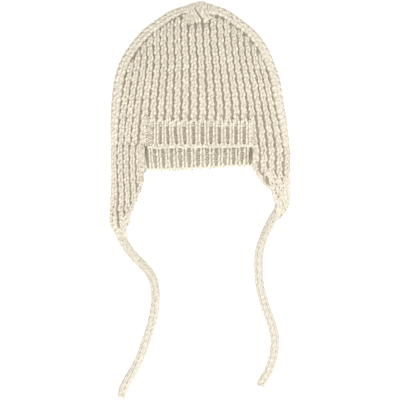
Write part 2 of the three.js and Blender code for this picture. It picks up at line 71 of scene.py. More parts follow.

# %% [markdown]
# ## Smooth lines
# Cords, ribs and yarn all follow smooth lines through a few points. A Catmull-Rom line goes through each
# point, which makes it easy to lay it out, and it needs no more than an array of points.

# %% Smooth lines
def smooth(points, steps):
    """A Catmull-Rom line through the points, with this many steps between two of them."""
    p = np.asarray(points, float)
    p = np.concatenate([[2 * p[0] - p[1]], p, [2 * p[-1] - p[-2]]])
    t = np.linspace(0, 1, steps, endpoint=False)[None, :, None]
    a, b, c, d = (p[k : len(p) - 3 + k, None, :] for k in range(4))
    line = b + 0.5 * t * (c - a + t * (2 * a - 5 * b + 4 * c - d + t * (3 * (b - c) + d - a)))
    return np.concatenate([line.reshape(-1, p.shape[1]), p[-2:-1]])


def lengths_along(points):
    """Distance from the first point to each point, along the line."""
    return np.concatenate([[0], np.cumsum(np.linalg.norm(np.diff(points, axis=0), axis=1))])


def unit(vectors):
    return vectors / np.maximum(np.linalg.norm(vectors, axis=-1, keepdims=True), 1e-9)


def ease(share):
    s = np.clip(share, 0.0, 1.0)
    return s * s * (3 - 2 * s)


def mix(a, b, share):
    return a + (b - a) * share


print("a line through 3 points has", len(smooth([[0, 0], [1, 0], [1, 1]], 4)), "points")

# %% [markdown]
# ## Yarn
# A length of yarn is a tube along a smooth line, thinner where it dives behind its neighbour. Blender's
# curves could do it, but thousands of curve objects are slow, so all the tubes of a piece are made at once
# as arrays and joined in one mesh. Its UV map runs along and round the yarn, for the twist in the material,
# and a point attribute holds the painted shade: it says how far down in the knit a point lies, and the
# material paints the point that much towards a warm brown.

# %% Yarn tubes
UP = np.array([0.0, 0.0, 1.0])
NEARLY_UP = np.array([0.001, 0.001, 1.0])  # for strands that may stand upright
# painted shade added on the lower side of each tube
UNDERSIDE_SHADE = 0.12
WALL_UV_SCALE = 0.4
PRESSED_BELOW = 0.8  # yarn lower than this is pressed flat, so that it stays above the floor


class Knit:
    """Collects the vertices and faces of one piece, in millimetres."""

    def __init__(self):
        self.points, self.faces, self.uvs, self.deep, self.count = [], [], [], [], 0

    def add(self, points, faces, uvs, deep):
        self.points.append(points)
        self.faces.append(faces + self.count)
        self.uvs.append(uvs)
        self.deep.append(deep)
        self.count += len(points)

    def tubes(self, paths, out, radii, sides, deep, flat=1.0, loose=1.0):
        """Tubes along paths of the shape (tubes, steps, 3). The way out, the radius and the painted shade are
        given for each step or once for all. flat is width over height, and a smaller loose untwists the yarn."""
        count, steps, _ = paths.shape
        if count == 0:
            return
        along = unit(np.gradient(paths, axis=1))
        across = unit(np.cross(along, out))
        up = np.cross(across, along)
        turn = np.arange(sides) * 2 * np.pi / sides
        ring = across[:, :, None] * (np.cos(turn)[:, None] * flat) + up[:, :, None] * np.sin(turn)[:, None]
        radii, deep = (np.broadcast_to(given, (count, steps))[..., None] for given in (radii, deep))
        points = (paths[:, :, None] + ring * radii[..., None]).reshape(-1, 3)
        tube, step, side = np.meshgrid(range(count), range(steps - 1), range(sides), indexing="ij")
        first = (tube * steps + step) * sides
        after = (side + 1) % sides
        faces = np.stack([first + side, first + after, first + sides + after, first + sides + side], -1)
        run = np.cumsum(np.linalg.norm(np.diff(paths, axis=1, prepend=paths[:, :1]), axis=2), axis=1)
        run = (run + rng.uniform(0, 50, (count, 1))) * loose
        corners = ((0, 0), (0, 1), (1, 1), (1, 0))
        uvs = [np.stack([run[tube, step + on], (side + over) / sides], -1) for on, over in corners]
        # painted shade: the given amount, a little more on the lower side of the tube
        low = np.clip(deep + UNDERSIDE_SHADE - UNDERSIDE_SHADE * np.sin(turn), 0, 1)
        self.add(points, faces.reshape(-1, 4), np.stack(uvs, 3).reshape(-1, 4, 2), low.reshape(-1))

    def sheet(self, face, back, deep):
        """A wall between two grids of points of the same size, closed along its edges."""
        rows, columns, _ = face.shape
        grid = np.arange(rows * columns).reshape(rows, columns)
        under = grid + rows * columns
        strips = [
            grid, under[:, ::-1], np.stack([under[0], grid[0]]), np.stack([grid[-1], under[-1]]),
            np.stack([grid[:, 0], under[:, 0]]), np.stack([under[:, -1], grid[:, -1]]),
        ]
        faces = np.concatenate([self._quads(strip) for strip in strips])
        points = np.concatenate([face.reshape(-1, 3), back.reshape(-1, 3)])
        uvs = points[faces][:, :, :2] * WALL_UV_SCALE
        painted_shading = np.broadcast_to(np.asarray(deep, float), (2, rows, columns)).reshape(-1)
        self.add(points, faces, uvs, painted_shading)

    @staticmethod
    def _quads(grid):
        return np.stack([grid[:-1, :-1], grid[:-1, 1:], grid[1:, 1:], grid[1:, :-1]], -1).reshape(-1, 4)

    def build(self, name, material, slot, node):
        """Makes the mesh, which stands for this CAD node. The material slot is not used."""
        points = np.concatenate(self.points)
        low = points[:, 2] < PRESSED_BELOW
        points[low, 2] = PRESSED_BELOW * np.exp((points[low, 2] - PRESSED_BELOW) / PRESSED_BELOW)
        points = points * MM
        faces = np.concatenate(self.faces)
        uvs = np.concatenate(self.uvs).astype(np.float32)
        mesh = bpy.data.meshes.new(name)
        mesh.vertices.add(len(points))
        mesh.vertices.foreach_set("co", points.astype(np.float32).ravel())
        mesh.loops.add(faces.size)
        mesh.loops.foreach_set("vertex_index", faces.astype(np.int32).ravel())
        mesh.polygons.add(len(faces))
        mesh.polygons.foreach_set("loop_start", np.arange(0, faces.size, 4, dtype=np.int32))
        mesh.polygons.foreach_set("use_smooth", np.ones(len(faces), bool))
        mesh.uv_layers.new(name="yarn").data.foreach_set("uv", uvs.ravel())
        # the amount of painted shade for each point, which the wool material reads
        deep = mesh.attributes.new("deep", "FLOAT", "POINT")
        deep.data.foreach_set("value", np.concatenate(self.deep).astype(np.float32))
        mesh.update(calc_edges=True)
        mesh.validate()
        mesh.materials.append(material)
        piece = bpy.data.objects.new(name, mesh)
        bpy.context.collection.objects.link(piece)
        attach(piece, "root")
        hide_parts(node)
        print(f"{name}: {2 * len(faces)} triangles")
        return piece

# %% [markdown]
# ## Wool
# The yarn is a soft cream wool of two plies. A single colour would look like plastic: real wool has a
# twist, fine fibres that catch the light at a low angle, and slightly paler and greyer places, and between
# the stitches it lies in warm brown shade, where light has passed through other yarn. Twist and fibres are
# bumps, and the twist also darkens the colour a little between the plies, a painted shade. The paler places
# are a noise, and the soft bloom on its edges is the shader's sheen. The shade between the stitches is
# painted into the colour: a point attribute mixes it towards a warm brown, the more the deeper the point
# lies in the knit. A wool can also glow a little, painted light that brightens it, except where the painted
# shade is strong.

# %% Wool material
PLIES = 2


def new_material(name, inputs):
    """A material, and its shader with values for these inputs."""
    material = bpy.data.materials.new(name)
    material.use_nodes = True
    shader = material.node_tree.nodes["Principled BSDF"]
    for socket, value in inputs.items():
        shader.inputs[socket].default_value = value
    return material, shader


def add_node(material, kind, inputs=None, **settings):
    node = material.node_tree.nodes.new("ShaderNode" + kind)
    for setting, value in settings.items():
        setattr(node, setting, value)
    for socket, value in (inputs or {}).items():
        node.inputs[socket].default_value = value
    return node


def add_ramp(material, *stops):
    """A colour ramp between two stops, each a place and a colour."""
    ramp = add_node(material, "ValToRGB")
    for element, (place, color) in zip(ramp.color_ramp.elements, stops):
        element.position = place
        element.color = (*color, 1.0)
    return ramp


def join(material, *links):
    for start, output, end, socket in links:
        material.node_tree.links.new(start.outputs[output], end.inputs[socket])


# shade is the colour of the painted shade; the last argument is the strength of a glow, painted light.
def wool(name, cream, shade, twist=0.28, bump=0.8, bloom=0.3, mottle=1.0, painted_glow=0.0):
    """twist is in turns for each millimetre of yarn, bloom the sheen, and mottle how uneven the colour is."""
    material, shader = new_material(name, {
        "Roughness": 0.92, "Specular IOR Level": 0.2, "Sheen Weight": bloom, "Sheen Roughness": 0.6,
        "Sheen Tint": (1.0, 0.96, 0.88, 1.0),
    })
    wave = (2 * math.pi * twist, 2 * math.pi * PLIES, 0.0)
    yarn = add_node(material, "UVMap", uv_map="yarn")
    plies = add_node(material, "VectorMath", {1: wave}, operation="DOT_PRODUCT")
    strand = add_node(material, "Math", operation="SINE")
    place = add_node(material, "TexCoord")
    fibre = add_node(material, "TexNoise", {"Scale": 1400.0, "Detail": 3.0})
    relief = add_node(material, "Math", {1: 0.55}, operation="MULTIPLY_ADD")
    dent = add_node(material, "Bump", {"Strength": bump, "Distance": 0.0006})
    patches = add_node(material, "TexNoise", {"Scale": 420.0, "Detail": 4.0})
    grey = [value * (1 - 0.16 * mottle) for value in cream]
    pale = [min(value * (1 + 0.09 * mottle), 1.0) for value in cream]
    tone = add_ramp(material, (0.3, grey), (0.7, pale))
    # how much painted shade the point takes
    shade_attribute = add_node(material, "Attribute", attribute_name="deep")
    # the twist darkens the colour between the plies: painted shade
    ply = add_node(material, "MapRange", {"From Min": -1.0, "To Min": 1 - 0.16 * mottle, "To Max": 1.02})
    plied = add_node(material, "VectorMath", operation="SCALE")
    # painted shade: the colour mixed towards the shade colour
    shade_mix = add_node(material, "Mix", {"B": (*shade, 1.0)}, data_type="RGBA")
    # painted light: a little glow in the wool's own colour, gone where the painted shade reaches 0.4
    lit = add_node(material, "MapRange", {"From Max": 0.4, "To Min": painted_glow, "To Max": 0.0})
    join(
        material,
        (yarn, "UV", plies, 0), (plies, "Value", strand, 0), (place, "Object", fibre, "Vector"),
        (strand, "Value", relief, 0), (fibre, "Fac", relief, 2), (relief, "Value", dent, "Height"),
        (dent, "Normal", shader, "Normal"), (place, "Object", patches, "Vector"),
        (patches, "Fac", tone, "Fac"), (strand, "Value", ply, "Value"), (tone, "Color", plied, 0),
        (ply, "Result", plied, "Scale"),
        (shade_attribute, "Fac", shade_mix, "Factor"), (plied, "Vector", shade_mix, "A"), (shade_mix, "Result", shader, "Base Color"),
        (shade_attribute, "Fac", lit, "Value"), (shade_mix, "Result", shader, "Emission Color"),
        (lit, "Result", shader, "Emission Strength"),
    )
    print(name, "has", len(material.node_tree.nodes), "nodes")
    return material


CREAM = (0.84, 0.775, 0.645)
# warm brown of the painted shade between the stitches
SHADE_TAN = (0.325, 0.257, 0.172)
crown_wool = wool("crown_wool", CREAM, SHADE_TAN)
band_wool = wool("band_wool", (0.85, 0.785, 0.655), (0.33, 0.26, 0.175), twist=0.25)
cord_wool = wool("cord_wool", (0.775, 0.725, 0.615), (0.40, 0.33, 0.24), 0.2, 0.5, 0.0, mottle=0.6)

# %% [markdown]
# ## Stitches on a lane
# Each rib of the knit is a lane: a centre line on the fabric, the direction across it, the direction out of
# the fabric, and its width. Every stitch shows two legs, mirror images, which come out between the feet of
# the stitch above and splay as they go down, so a rib looks like a chain of arrows. A leg is given once, as
# a short table in shares of the stitch, and is then laid on every lane.

# %% Lanes
class Lane:
    def __init__(self, centre, left, right):
        self.centre = np.asarray(centre, float)
        span = np.asarray(right, float) - np.asarray(left, float)
        self.run = lengths_along(self.centre)
        self.length = self.run[-1]
        along = unit(np.gradient(self.centre, axis=0))
        self.width = np.linalg.norm(span, axis=1)
        flat = span - along * (span * along).sum(1, keepdims=True)
        self.across = unit(flat)
        self.out = unit(np.cross(self.across, along))

    def at(self, s):
        """Centre, ways across and out, and width at these distances; it runs straight on past its ends."""
        pick = lambda table: np.stack([np.interp(s, self.run, table[:, k]) for k in range(3)], -1)
        centre, across, out = pick(self.centre), unit(pick(self.across)), unit(pick(self.out))
        low, high = np.minimum(s, 0), np.maximum(s - self.length, 0)
        start = unit(self.centre[1] - self.centre[0])
        end = unit(self.centre[-1] - self.centre[-2])
        centre = centre + low[..., None] * start + high[..., None] * end
        return centre, across, out, np.interp(s, self.run, self.width)

    def place(self, s, share, height):
        """Points at s along, a share of the width across and a height over the lane, and the way out."""
        centre, across, out, width = self.at(s)
        return centre + across * (share * width)[..., None] + out * height[..., None], out


def lane_between(line_at, half=0.5):
    """A lane from the lines at 0, -half and half. A negative half turns its way out to the other side."""
    return Lane(*(line_at(shift) for shift in (0, -half, half)))

# %% Legs of a stitch
# Columns: place along the stitch (0 at its feet, 1 at the next stitch's feet above), share of the rib's width
# from its middle, height, radius of the yarn in millimetres, and how deep it lies, which is how much painted
# shade it takes.
RIB_LEG = [
    [1.12, 0.085, -1.9, 1.0, 0.5],
    [0.95, 0.115, -0.7, 1.32, 0.2],
    [0.75, 0.145, 0.0, 1.42, 0.0],
    [0.5, 0.178, 0.2, 1.46, 0.0],
    [0.27, 0.218, 0.4, 1.5, 0.0],
    [0.07, 0.256, 0.6, 1.6, 0.0],
    [-0.1, 0.272, 0.0, 1.4, 0.15],
    [-0.2, 0.245, -1.6, 0.95, 0.5],
]
EDGE_LEG = [
    [1.3, 0.05, -1.5, 1.2, 0.3],
    [1.0, 0.085, -0.3, 1.75, 0.05],
    [0.62, 0.14, 0.15, 2.05, 0.0],
    [0.3, 0.205, 0.25, 2.15, 0.0],
    [0.0, 0.27, 0.1, 2.0, 0.0],
    [-0.2, 0.29, -1.2, 1.3, 0.3],
]


# How much hand-knitted stitches differ: place and height in millimetres, the rest in shares.
ALONG_JITTER = 0.35
LEG_JITTER = 0.012
ASIDE_JITTER = 0.008
HEIGHT_JITTER = 0.14
THICK_JITTER = 0.05


def leg_shape(table, steps):
    """The table as a smooth line with this many steps in all."""
    line = smooth(table, 6)
    keep = np.linspace(0, len(line) - 1, steps).round().astype(int)
    return line[keep]


def lay_stitches(knit, lane, feet, pitch, leg, offset, steps=13, sides=8, wobble=1.0, width=None,
                 slant=0.0, painted_shading=0.0):
    """Two legs for each of the feet's distances along the lane. width is the rib width that the yarn was
    given for, so that it is thinner in a narrower rib. slant sets one leg lower, and the last argument adds
    painted shade to the whole stitch."""
    shape = leg_shape(leg, steps)[None]
    feet = np.asarray(feet, float)
    jitter = lambda size: rng.normal(0, size * wobble, (len(feet), 1))
    thick = np.clip(lane.width.mean() / width, 0.7, 1.15) if width else 1.0
    for side in (-1, 1):
        s = feet[:, None] + shape[..., 0] * pitch + jitter(ALONG_JITTER) + side * slant
        share = side * (shape[..., 1] + jitter(LEG_JITTER)) + jitter(ASIDE_JITTER)
        height = shape[..., 2] + offset + jitter(HEIGHT_JITTER)
        points, out = lane.place(s, share, height)
        radius = shape[..., 3] * thick * (1 + jitter(THICK_JITTER))
        knit.tubes(points, out, radius, sides, painted_shading + shape[..., 4])


def lay_core(knit, lane, offset, radius, start=0.0, end=0.0, feet=None, pitch=1.0):
    """A strand along the middle of a rib, the part of its stitches that fills the place between the legs. It
    dips at each of the feet, where the next stitch comes out, and is painted darker there, as shade."""
    s = np.arange(start, lane.length - end, 1.5)[None, :]
    if s.size < 3:
        return
    dip = np.zeros(s.shape)
    if feet is not None:
        nearest = np.abs(s[..., None] - np.asarray(feet)).min(-1)
        dip = 1 - ease((nearest - 0.3) / (0.22 * pitch))
    wave = rng.normal(0, 0.012, s.shape)
    points, out = lane.place(s, wave, offset - 1.1 * dip + rng.normal(0, 0.1, s.shape))
    knit.tubes(points, out, radius * (1 + rng.normal(0, 0.06, s.shape)), 7, 0.08 + 0.6 * dip, 1.25)


def lay_bars(knit, lane, places, reach, offset, radius=0.75, deep=0.35):
    """Short bars of yarn across a lane's middle, as in the gap between two ribs, with a painted shade."""
    places = np.asarray(places, float)[:, None]
    across = np.linspace(-1, 1, 7)
    jitter = lambda size: rng.normal(0, size, places.shape)
    s = places + 0.35 * (1 - across**2) + jitter(0.15)
    share = across * reach + jitter(0.01)
    points, out = lane.place(s, share, offset - 0.9 * across**2 + jitter(0.08))
    knit.tubes(points, out, radius, 6, deep)


print("a leg bends through", len(leg_shape(RIB_LEG, 13)), "rings")

# %% [markdown]
# ## Ties
# The two ties are knitted cords, round and limp, about as long as the picture shows: each runs from the tip
# of a flap to its free end. A plain bevelled curve would be a smooth hose, so the cord is a core with five
# ribs of stitches round it, and near the flap bars of yarn cross between two ribs. The left one is twisted
# by half a turn, the right one lies almost straight. The ties come first, because their length and lie have
# to be right.

# %% Routes of the ties
TIE_DIAMETER = 8.4
TIE_HEIGHTS = (5.4, 4.8, 4.3)  # of the first points, down from the tip of the flap
LYING_HEIGHT = 4.25
TIE_LEFT_PLACES = [
    (-81, -114.6), (-79.8, -119), (-77.2, -124.6), (-74.2, -130), (-70.4, -135.4), (-66.2, -140.6),
    (-61.2, -145.6), (-56.4, -150.4), (-52, -155.6), (-48.4, -161.2), (-46, -167.4), (-44.8, -174),
    (-44.5, -181), (-45, -190), (-46.4, -200), (-48.8, -210), (-52, -220), (-55.4, -230),
    (-59.2, -240), (-63.4, -249), (-68.2, -258), (-73.4, -267), (-77, -274.4), (-78.6, -281.8),
]
TIE_RIGHT_PLACES = [
    (78.2, -95.2), (75.6, -99.2), (72.4, -104), (69.6, -109.4), (66.8, -115), (64.2, -121),
    (61.6, -128), (59.6, -136), (58.8, -145), (58.9, -155), (59.4, -165), (61, -175),
    (63.6, -185), (66.8, -195), (70.6, -205), (73.6, -215), (75.2, -225), (74.6, -235),
    (72.6, -245), (69.2, -255), (64.4, -263.4), (60.6, -269.4),
]


def tie_route(places):
    heights = TIE_HEIGHTS + (LYING_HEIGHT,) * (len(places) - len(TIE_HEIGHTS))
    return [(x, y, z) for (x, y), z in zip(places, heights)]


print("the left tie runs through", len(tie_route(TIE_LEFT_PLACES)), "points")

# %% Knitted cord
TIE_RIBS = 5
CORD_LEG = [
    [1.25, 0.06, -0.8, 0.85, 0.4],
    [0.95, 0.1, -0.1, 1.12, 0.12],
    [0.6, 0.16, 0.15, 1.22, 0.0],
    [0.25, 0.23, 0.22, 1.25, 0.0],
    [-0.05, 0.3, 0.05, 1.15, 0.08],
    [-0.2, 0.31, -0.8, 0.85, 0.4],
]
RIBS_INSIDE = 0.7  # the ribs' lanes lie this far inside the cord's surface
CORE_INSIDE = 0.9
ROUND_END = 2.6
PALE_END = 6.0


def tie(name, node, route, first, turns, pitch, bars):
    """A cord whose ribs start at this share of a rib and are wound this often round it. bars has the share of
    the length that a row of bars takes, and its angle."""
    line = smooth(route, 8)
    along = unit(np.gradient(line, axis=0))
    side = unit(np.cross(along, UP))
    up = np.cross(side, along)
    run = lengths_along(line)
    knit = Knit()
    from_end = np.minimum(run, run[-1] - run)
    rounding = np.sqrt(1 - (1 - np.clip(from_end / ROUND_END, 0.004, 1)) ** 2)
    core = (TIE_DIAMETER / 2 - CORE_INSIDE) * rounding
    # painted shade on the core, which the ribs cover, fading out near both ends
    knit.tubes(line[None], up, core, 12, 0.1 + 0.5 * ease(from_end / PALE_END))

    def ring_lane(angle, half):
        """A lane on the cord at this angle, from its free end to the flap."""
        ring = lambda a: side * np.cos(a)[:, None] + up * np.sin(a)[:, None]
        reach = TIE_DIAMETER / 2 - RIBS_INSIDE
        return lane_between(lambda turn: (line + ring(angle + turn) * reach)[::-1], half)

    for rib in range(TIE_RIBS):
        angle = 2 * np.pi * (rib + first) / TIE_RIBS + turns * 2 * np.pi * run / run[-1]
        lane = ring_lane(angle, np.pi / TIE_RIBS)
        feet = np.arange(0.6, lane.length - 1.0, pitch) + rng.uniform(-0.8, 0.8)
        lay_stitches(knit, lane, feet, pitch, CORD_LEG, -0.35, 9, 7, 0.35)
    for share, angle in bars:
        lane = ring_lane(np.full(len(line), angle), 0.7)
        places = np.arange(lane.length * (1 - share), lane.length - 3.0, 2.3)
        lay_bars(knit, lane, places, 0.62, 0.25, 1.0, 0.15)
    piece = knit.build(name, cord_wool, "knitted_cord", node)
    print(name, "is", round(run[-1], 1), "mm long")


tie("tie_left_knit", "tie_left", tie_route(TIE_LEFT_PLACES), 0.5, 0.5, 6.2, [(0.42, 1.1), (0.42, 2.0)])
tie("tie_right_knit", "tie_right", tie_route(TIE_RIGHT_PLACES), 0.45, -0.08, 8.0, [(0.22, 1.2)])

# %% [markdown]
# ## Shape of the lying crown
# Laid on a table the crown is a pillow with a rounded fold down each side. Its height depends only on how
# far a point lies from the outline, so one outline table and two height curves, one for the upper layer and
# one for the lower, give the whole shape. They are the ones that the solid model is made from.

# %% Outline and heights
HALF_WIDTH = 90.0
CROWN_LENGTH = 141.5
SIDE_RIM_Y = -29.65
FRONT_RIM_Y = -6.65
TOP_Y = SIDE_RIM_Y + CROWN_LENGTH
PUFF = 40.0
RIM_PUFF = 31.0
FOLD_REACH = 14.0
FRONT_RISE = FRONT_RIM_Y - SIDE_RIM_Y
FRONT_BAND_DEPTH = 25.5
DOME_POWER = 2.4
OUTLINE = {
    "up": (0.0, 0.177, 0.318, 0.459, 0.601, 0.707, 0.813, 0.883, 0.94, 0.979, 1.0),
    "left": (0.995, 0.995, 0.983, 0.956, 0.883, 0.783, 0.639, 0.5, 0.365, 0.215, 0.0),
    "right": (1.0, 0.965, 0.928, 0.894, 0.817, 0.739, 0.61, 0.475, 0.35, 0.22, 0.0),
}
RIB_LIE = {
    "up": (0.0, 0.2, 0.318, 0.487, 0.601, 0.713, 0.85, 1.0),
    "centre": (-0.022, -0.021, -0.019, -0.027, -0.03, -0.046, -0.053, -0.06),
    "left": (0.1, 0.0966, 0.0956, 0.089, 0.0856, 0.0844, 0.0822, 0.08),
    "right": (0.103, 0.099, 0.0957, 0.0889, 0.084, 0.0833, 0.0822, 0.08),
}


def value_at(table, key, name, place):
    """A column of a table at places between its rows, along a smooth cubic."""
    keys, values = np.array(table[key]), np.array(table[name])
    slope = np.gradient(values, keys, edge_order=1)
    slope[1:-1] = (values[2:] - values[:-2]) / (keys[2:] - keys[:-2])
    k = np.clip(np.searchsorted(keys, place) - 1, 0, len(keys) - 2)
    span = keys[k + 1] - keys[k]
    s = np.clip((place - keys[k]) / span, 0, 1)
    start, end = (1 + 2 * s) * (1 - s) ** 2 * values[k], s * s * (3 - 2 * s) * values[k + 1]
    return start + end + s * (1 - s) * span * ((1 - s) * slope[k] - s * slope[k + 1])


def outline_arch():
    up = SIDE_RIM_Y + np.array(OUTLINE["up"]) * CROWN_LENGTH
    left = np.stack([-np.array(OUTLINE["left"]) * HALF_WIDTH, up], 1)
    right = np.stack([np.array(OUTLINE["right"]) * HALF_WIDTH, up], 1)[:-1]
    return smooth(np.concatenate([left, right[::-1]]), 12)


ARCH = outline_arch()
BELOW = np.array([0.0, 90.0])  # the outline runs on below the rim
WHOLE_OUTLINE = np.concatenate([[ARCH[0] - BELOW], ARCH, [ARCH[-1] - BELOW]])


def outline_distance(x, y):
    """Distance of each point from the outline."""
    p = np.stack(np.broadcast_arrays(x, y), -1).reshape(-1, 2)
    start = WHOLE_OUTLINE[:-1]
    edge = WHOLE_OUTLINE[1:] - start
    nearest = []
    for part in np.array_split(p, max(1, len(p) // 2000)):
        gap = part[:, None] - start
        s = np.clip((gap * edge).sum(2) / (edge**2).sum(1), 0, 1)
        nearest.append(np.linalg.norm(gap - s[..., None] * edge, axis=2).min(1))
    return np.concatenate(nearest).reshape(np.broadcast(x, y).shape)


def puff_at(y):
    return mix(RIM_PUFF, PUFF, ease((y - FRONT_RIM_Y + FRONT_BAND_DEPTH) / (PUFF + FRONT_RISE)))


def upper_height(distance, y):
    share = np.clip(distance / HALF_WIDTH, 0, 1)
    return mix(FOLD_HEIGHT, puff_at(y), np.sqrt(1 - (1 - share) ** DOME_POWER))


def lower_height(distance):
    share = np.clip(distance / FOLD_REACH, 0, 1)
    return FOLD_HEIGHT * (1 - np.sqrt(1 - (1 - share) ** 2))


print("outline points:", len(ARCH), "top at", ARCH[:, 1].max().round(2), "mm")

# %% [markdown]
# ## Ribs of the crown
# The ribs run from the rim to the top, where a rib that follows the outline takes them in, as the decreases
# of the real crown do. Rib marks are counted from the middle: whole numbers are the grooves. Each rib is a
# lane on the upper layer and once more on the lower one.

# %% Rib marks
LAST_RIB = 10
FORK_RIB = 5.7
EDGE_RIB = 10.0
EDGE_RIB_AT_RIM = 6.5
GATHER_Y = 92.0  # the middle ribs end here, and each further one a step higher
GATHER_STEP = 12.0
CORNER_Y = SIDE_RIM_Y + 0.42 * CROWN_LENGTH
LEFT_PUSH = 2.0  # how far the outer ribs are pushed out at the left rim
PUSH_LENGTH = 60.0


def even_rib_x(mark, y):
    up = (y - SIDE_RIM_Y) / CROWN_LENGTH
    pitch = np.where(mark < 0, value_at(RIB_LIE, "up", "left", up), value_at(RIB_LIE, "up", "right", up))
    return HALF_WIDTH * (value_at(RIB_LIE, "up", "centre", up) + pitch * mark * (1 - 0.01 * np.abs(mark)))


def edge_rib_at(y):
    return mix(EDGE_RIB_AT_RIM, EDGE_RIB, ease((y - SIDE_RIM_Y) / (CORNER_Y - SIDE_RIM_Y)))


def rib_x(mark, y):
    """Place across of a rib mark. The outer ribs are drawn to the edge rib, and pushed out at the left."""
    side = np.where(np.asarray(mark) < 0, -1.0, 1.0)
    level = np.clip(y, SIDE_RIM_Y, CORNER_Y)
    up = (level - SIDE_RIM_Y) / CROWN_LENGTH
    left, right = (value_at(OUTLINE, "up", name, up) for name in ("left", "right"))
    arch = HALF_WIDTH * np.where(side < 0, left, right)
    spare = arch - edge_rib_at(level) * 1.02 - side * even_rib_x(side * LAST_RIB, level)
    outer = np.clip((np.abs(mark) - FORK_RIB) / (LAST_RIB - FORK_RIB), 0, 1)
    pushed = np.interp(np.abs(mark), (5.8, 7.2, 10.0), (0, 1, 0)) * (side < 0)
    pushed = pushed * (1 - ease((y - SIDE_RIM_Y) / PUSH_LENGTH))
    return even_rib_x(mark, y) + side * (spare * outer + LEFT_PUSH * pushed)


def rib_top(mark, share):
    """Where a rib meets this share of the edge rib's width."""
    y = np.arange(CORNER_Y, TOP_Y, 0.25)
    inside = outline_distance(rib_x(mark, y), y) > share * edge_rib_at(y)
    return y[np.argmin(inside)] if not inside.all() else y[-1]


def rim_y(mark, front):
    return FRONT_RIM_Y if front and abs(mark) < 6.0 else SIDE_RIM_Y


def crown_points(mark, y, front):
    x = rib_x(mark, y)
    distance = outline_distance(x, y)
    z = upper_height(distance, y) if front else lower_height(distance)
    return np.stack([x, y, z], -1)


def crown_lane(mark, front):
    top = rib_top(mark, 0.98)
    if front:
        top = min(top, GATHER_Y + GATHER_STEP * max(0.0, abs(mark - 0.5) - 1.4))
    y = np.linspace(rim_y(mark, front), top, 60)
    return lane_between(lambda shift: crown_points(mark + shift, y, front), 0.5 if front else -0.5)


middle = crown_lane(0.5, True)
print("middle rib:", round(middle.length, 1), "mm long,", middle.width.mean().round(2), "mm wide")

# %% Crown ribs in yarn
ROW = 9.15
FIRST_FEET_Y = -0.15
BARS_IN_ROW = 3
# Where a bar is left out, the painted shade of the wall behind it shows.
BARS_KEPT = 0.72  # the others are left out at random, and the groove is darker there


def crown_ribs(front, steps, sides, offset):
    knit = Knit()
    for k in range(-LAST_RIB, LAST_RIB):
        lane = crown_lane(k + 0.5, front)
        ys = lane.centre[:, 1]
        first = math.ceil((ys[0] - FIRST_FEET_Y + 0.5) / ROW)
        feet_y = FIRST_FEET_Y + ROW * np.arange(first, 20) + rng.normal(0, 0.35)
        feet = np.interp(feet_y[feet_y < ys[-1] - 1.5], ys, lane.run)
        loose = 1.0 if abs(k + 0.5) < 6 else 1.5
        yarn_width = 9.1 if k >= 6 else 8.1
        lay_stitches(knit, lane, feet, ROW, RIB_LEG, offset, steps, sides, loose, yarn_width, 1.7)
        lay_core(knit, lane, offset - 0.7, 1.3, feet=feet, pitch=ROW)
    for k in range(-LAST_RIB + 1, LAST_RIB):
        lane = crown_lane(float(k), front)
        count = int(lane.length / ROW * BARS_IN_ROW)
        places = (np.arange(count) + 0.5) * ROW / BARS_IN_ROW
        near_top = places > lane.length - (6.0 if front else 0.0)
        kept = ~near_top & (rng.random(count) < BARS_KEPT)
        lay_bars(knit, lane, places[kept], 0.27, offset - 1.3, deep=0.7)
        if abs(k) > 2:
            lay_bars(knit, lane, places[near_top], 0.27, offset - 0.7, 1.0, deep=0.3)
    return knit


crown_ribs(True, 13, 8, -1.9).build("crown_front_ribs", crown_wool, "chunky_rib_knit", "crown")
crown_ribs(False, 11, 7, -2.3).build("crown_back_ribs", crown_wool, "chunky_rib_knit", "crown")

# %% [markdown]
# ## Edge ribs
# Over the arch the knit turns round the side fold. Three ribs follow the outline from rim to top: one on
# the upper layer, one on the fold and one on the lower layer. In the picture the upper one is a smooth pale
# border, and a thin dark line of dashes marks where it takes in the other ribs: a thin strand painted dark,
# as the shade in that join.

# %% Edge ribs
def fold_point(station, turn):
    """Point of the fold at a station of the outline; turn is 0 on the upper layer and 3 on the lower one."""
    foot, inward = station
    width = edge_rib_at(foot[:, 1])
    share = turn / 1.5
    distance = width * (1 - share) ** 2
    z = upper_height(distance, foot[:, 1]) if turn <= 1.5 else lower_height(distance)
    return np.concatenate([foot + inward * distance[:, None], z[:, None]], 1)


def fold_station(side):
    """Outline points from the side rim to the top, with the way in, on the left (-1) or right (1)."""
    top = int(np.argmax(ARCH[:, 1]))
    foot = ARCH[: top + 1] if side < 0 else ARCH[top:][::-1]
    along = unit(np.gradient(foot, axis=0))
    inward = np.stack([along[:, 1], -along[:, 0]], 1) * -side
    inward[-1] = (0, -1)
    return foot, inward


EDGE_PITCH = 7.0
DASHES_ABOVE = 40.0


def edge_ribs():
    knit = Knit()
    for side in (-1, 1):
        station = fold_station(side)
        for rib in range(3):
            lane = lane_between(lambda shift: fold_point(station, rib + 0.5 + shift), side / 2)
            feet = np.arange(3.0, lane.length - (15 if side < 0 else 10), EDGE_PITCH) + rng.uniform(-1, 1)
            lay_stitches(knit, lane, feet, EDGE_PITCH, EDGE_LEG, -2.2, 11, 8, 0.5, 9.5, 0.6)
            lay_core(knit, lane, -3.0, 1.6, end=9.0)
        inner = fold_point(station, 0.0)[station[0][:, 1] > DASHES_ABOVE]
        inner[:, 2] -= 0.9
        run = lengths_along(inner)
        dashes = 0.3 + 0.22 * np.sin(run * 0.9 + np.sin(run * 0.31) * 2)
        # painted shade: a thin dark strand along the inner side of the edge rib, in dashes
        knit.tubes(inner[None], NEARLY_UP, dashes, 7, 0.8)
    return knit


knitted_edge = edge_ribs()

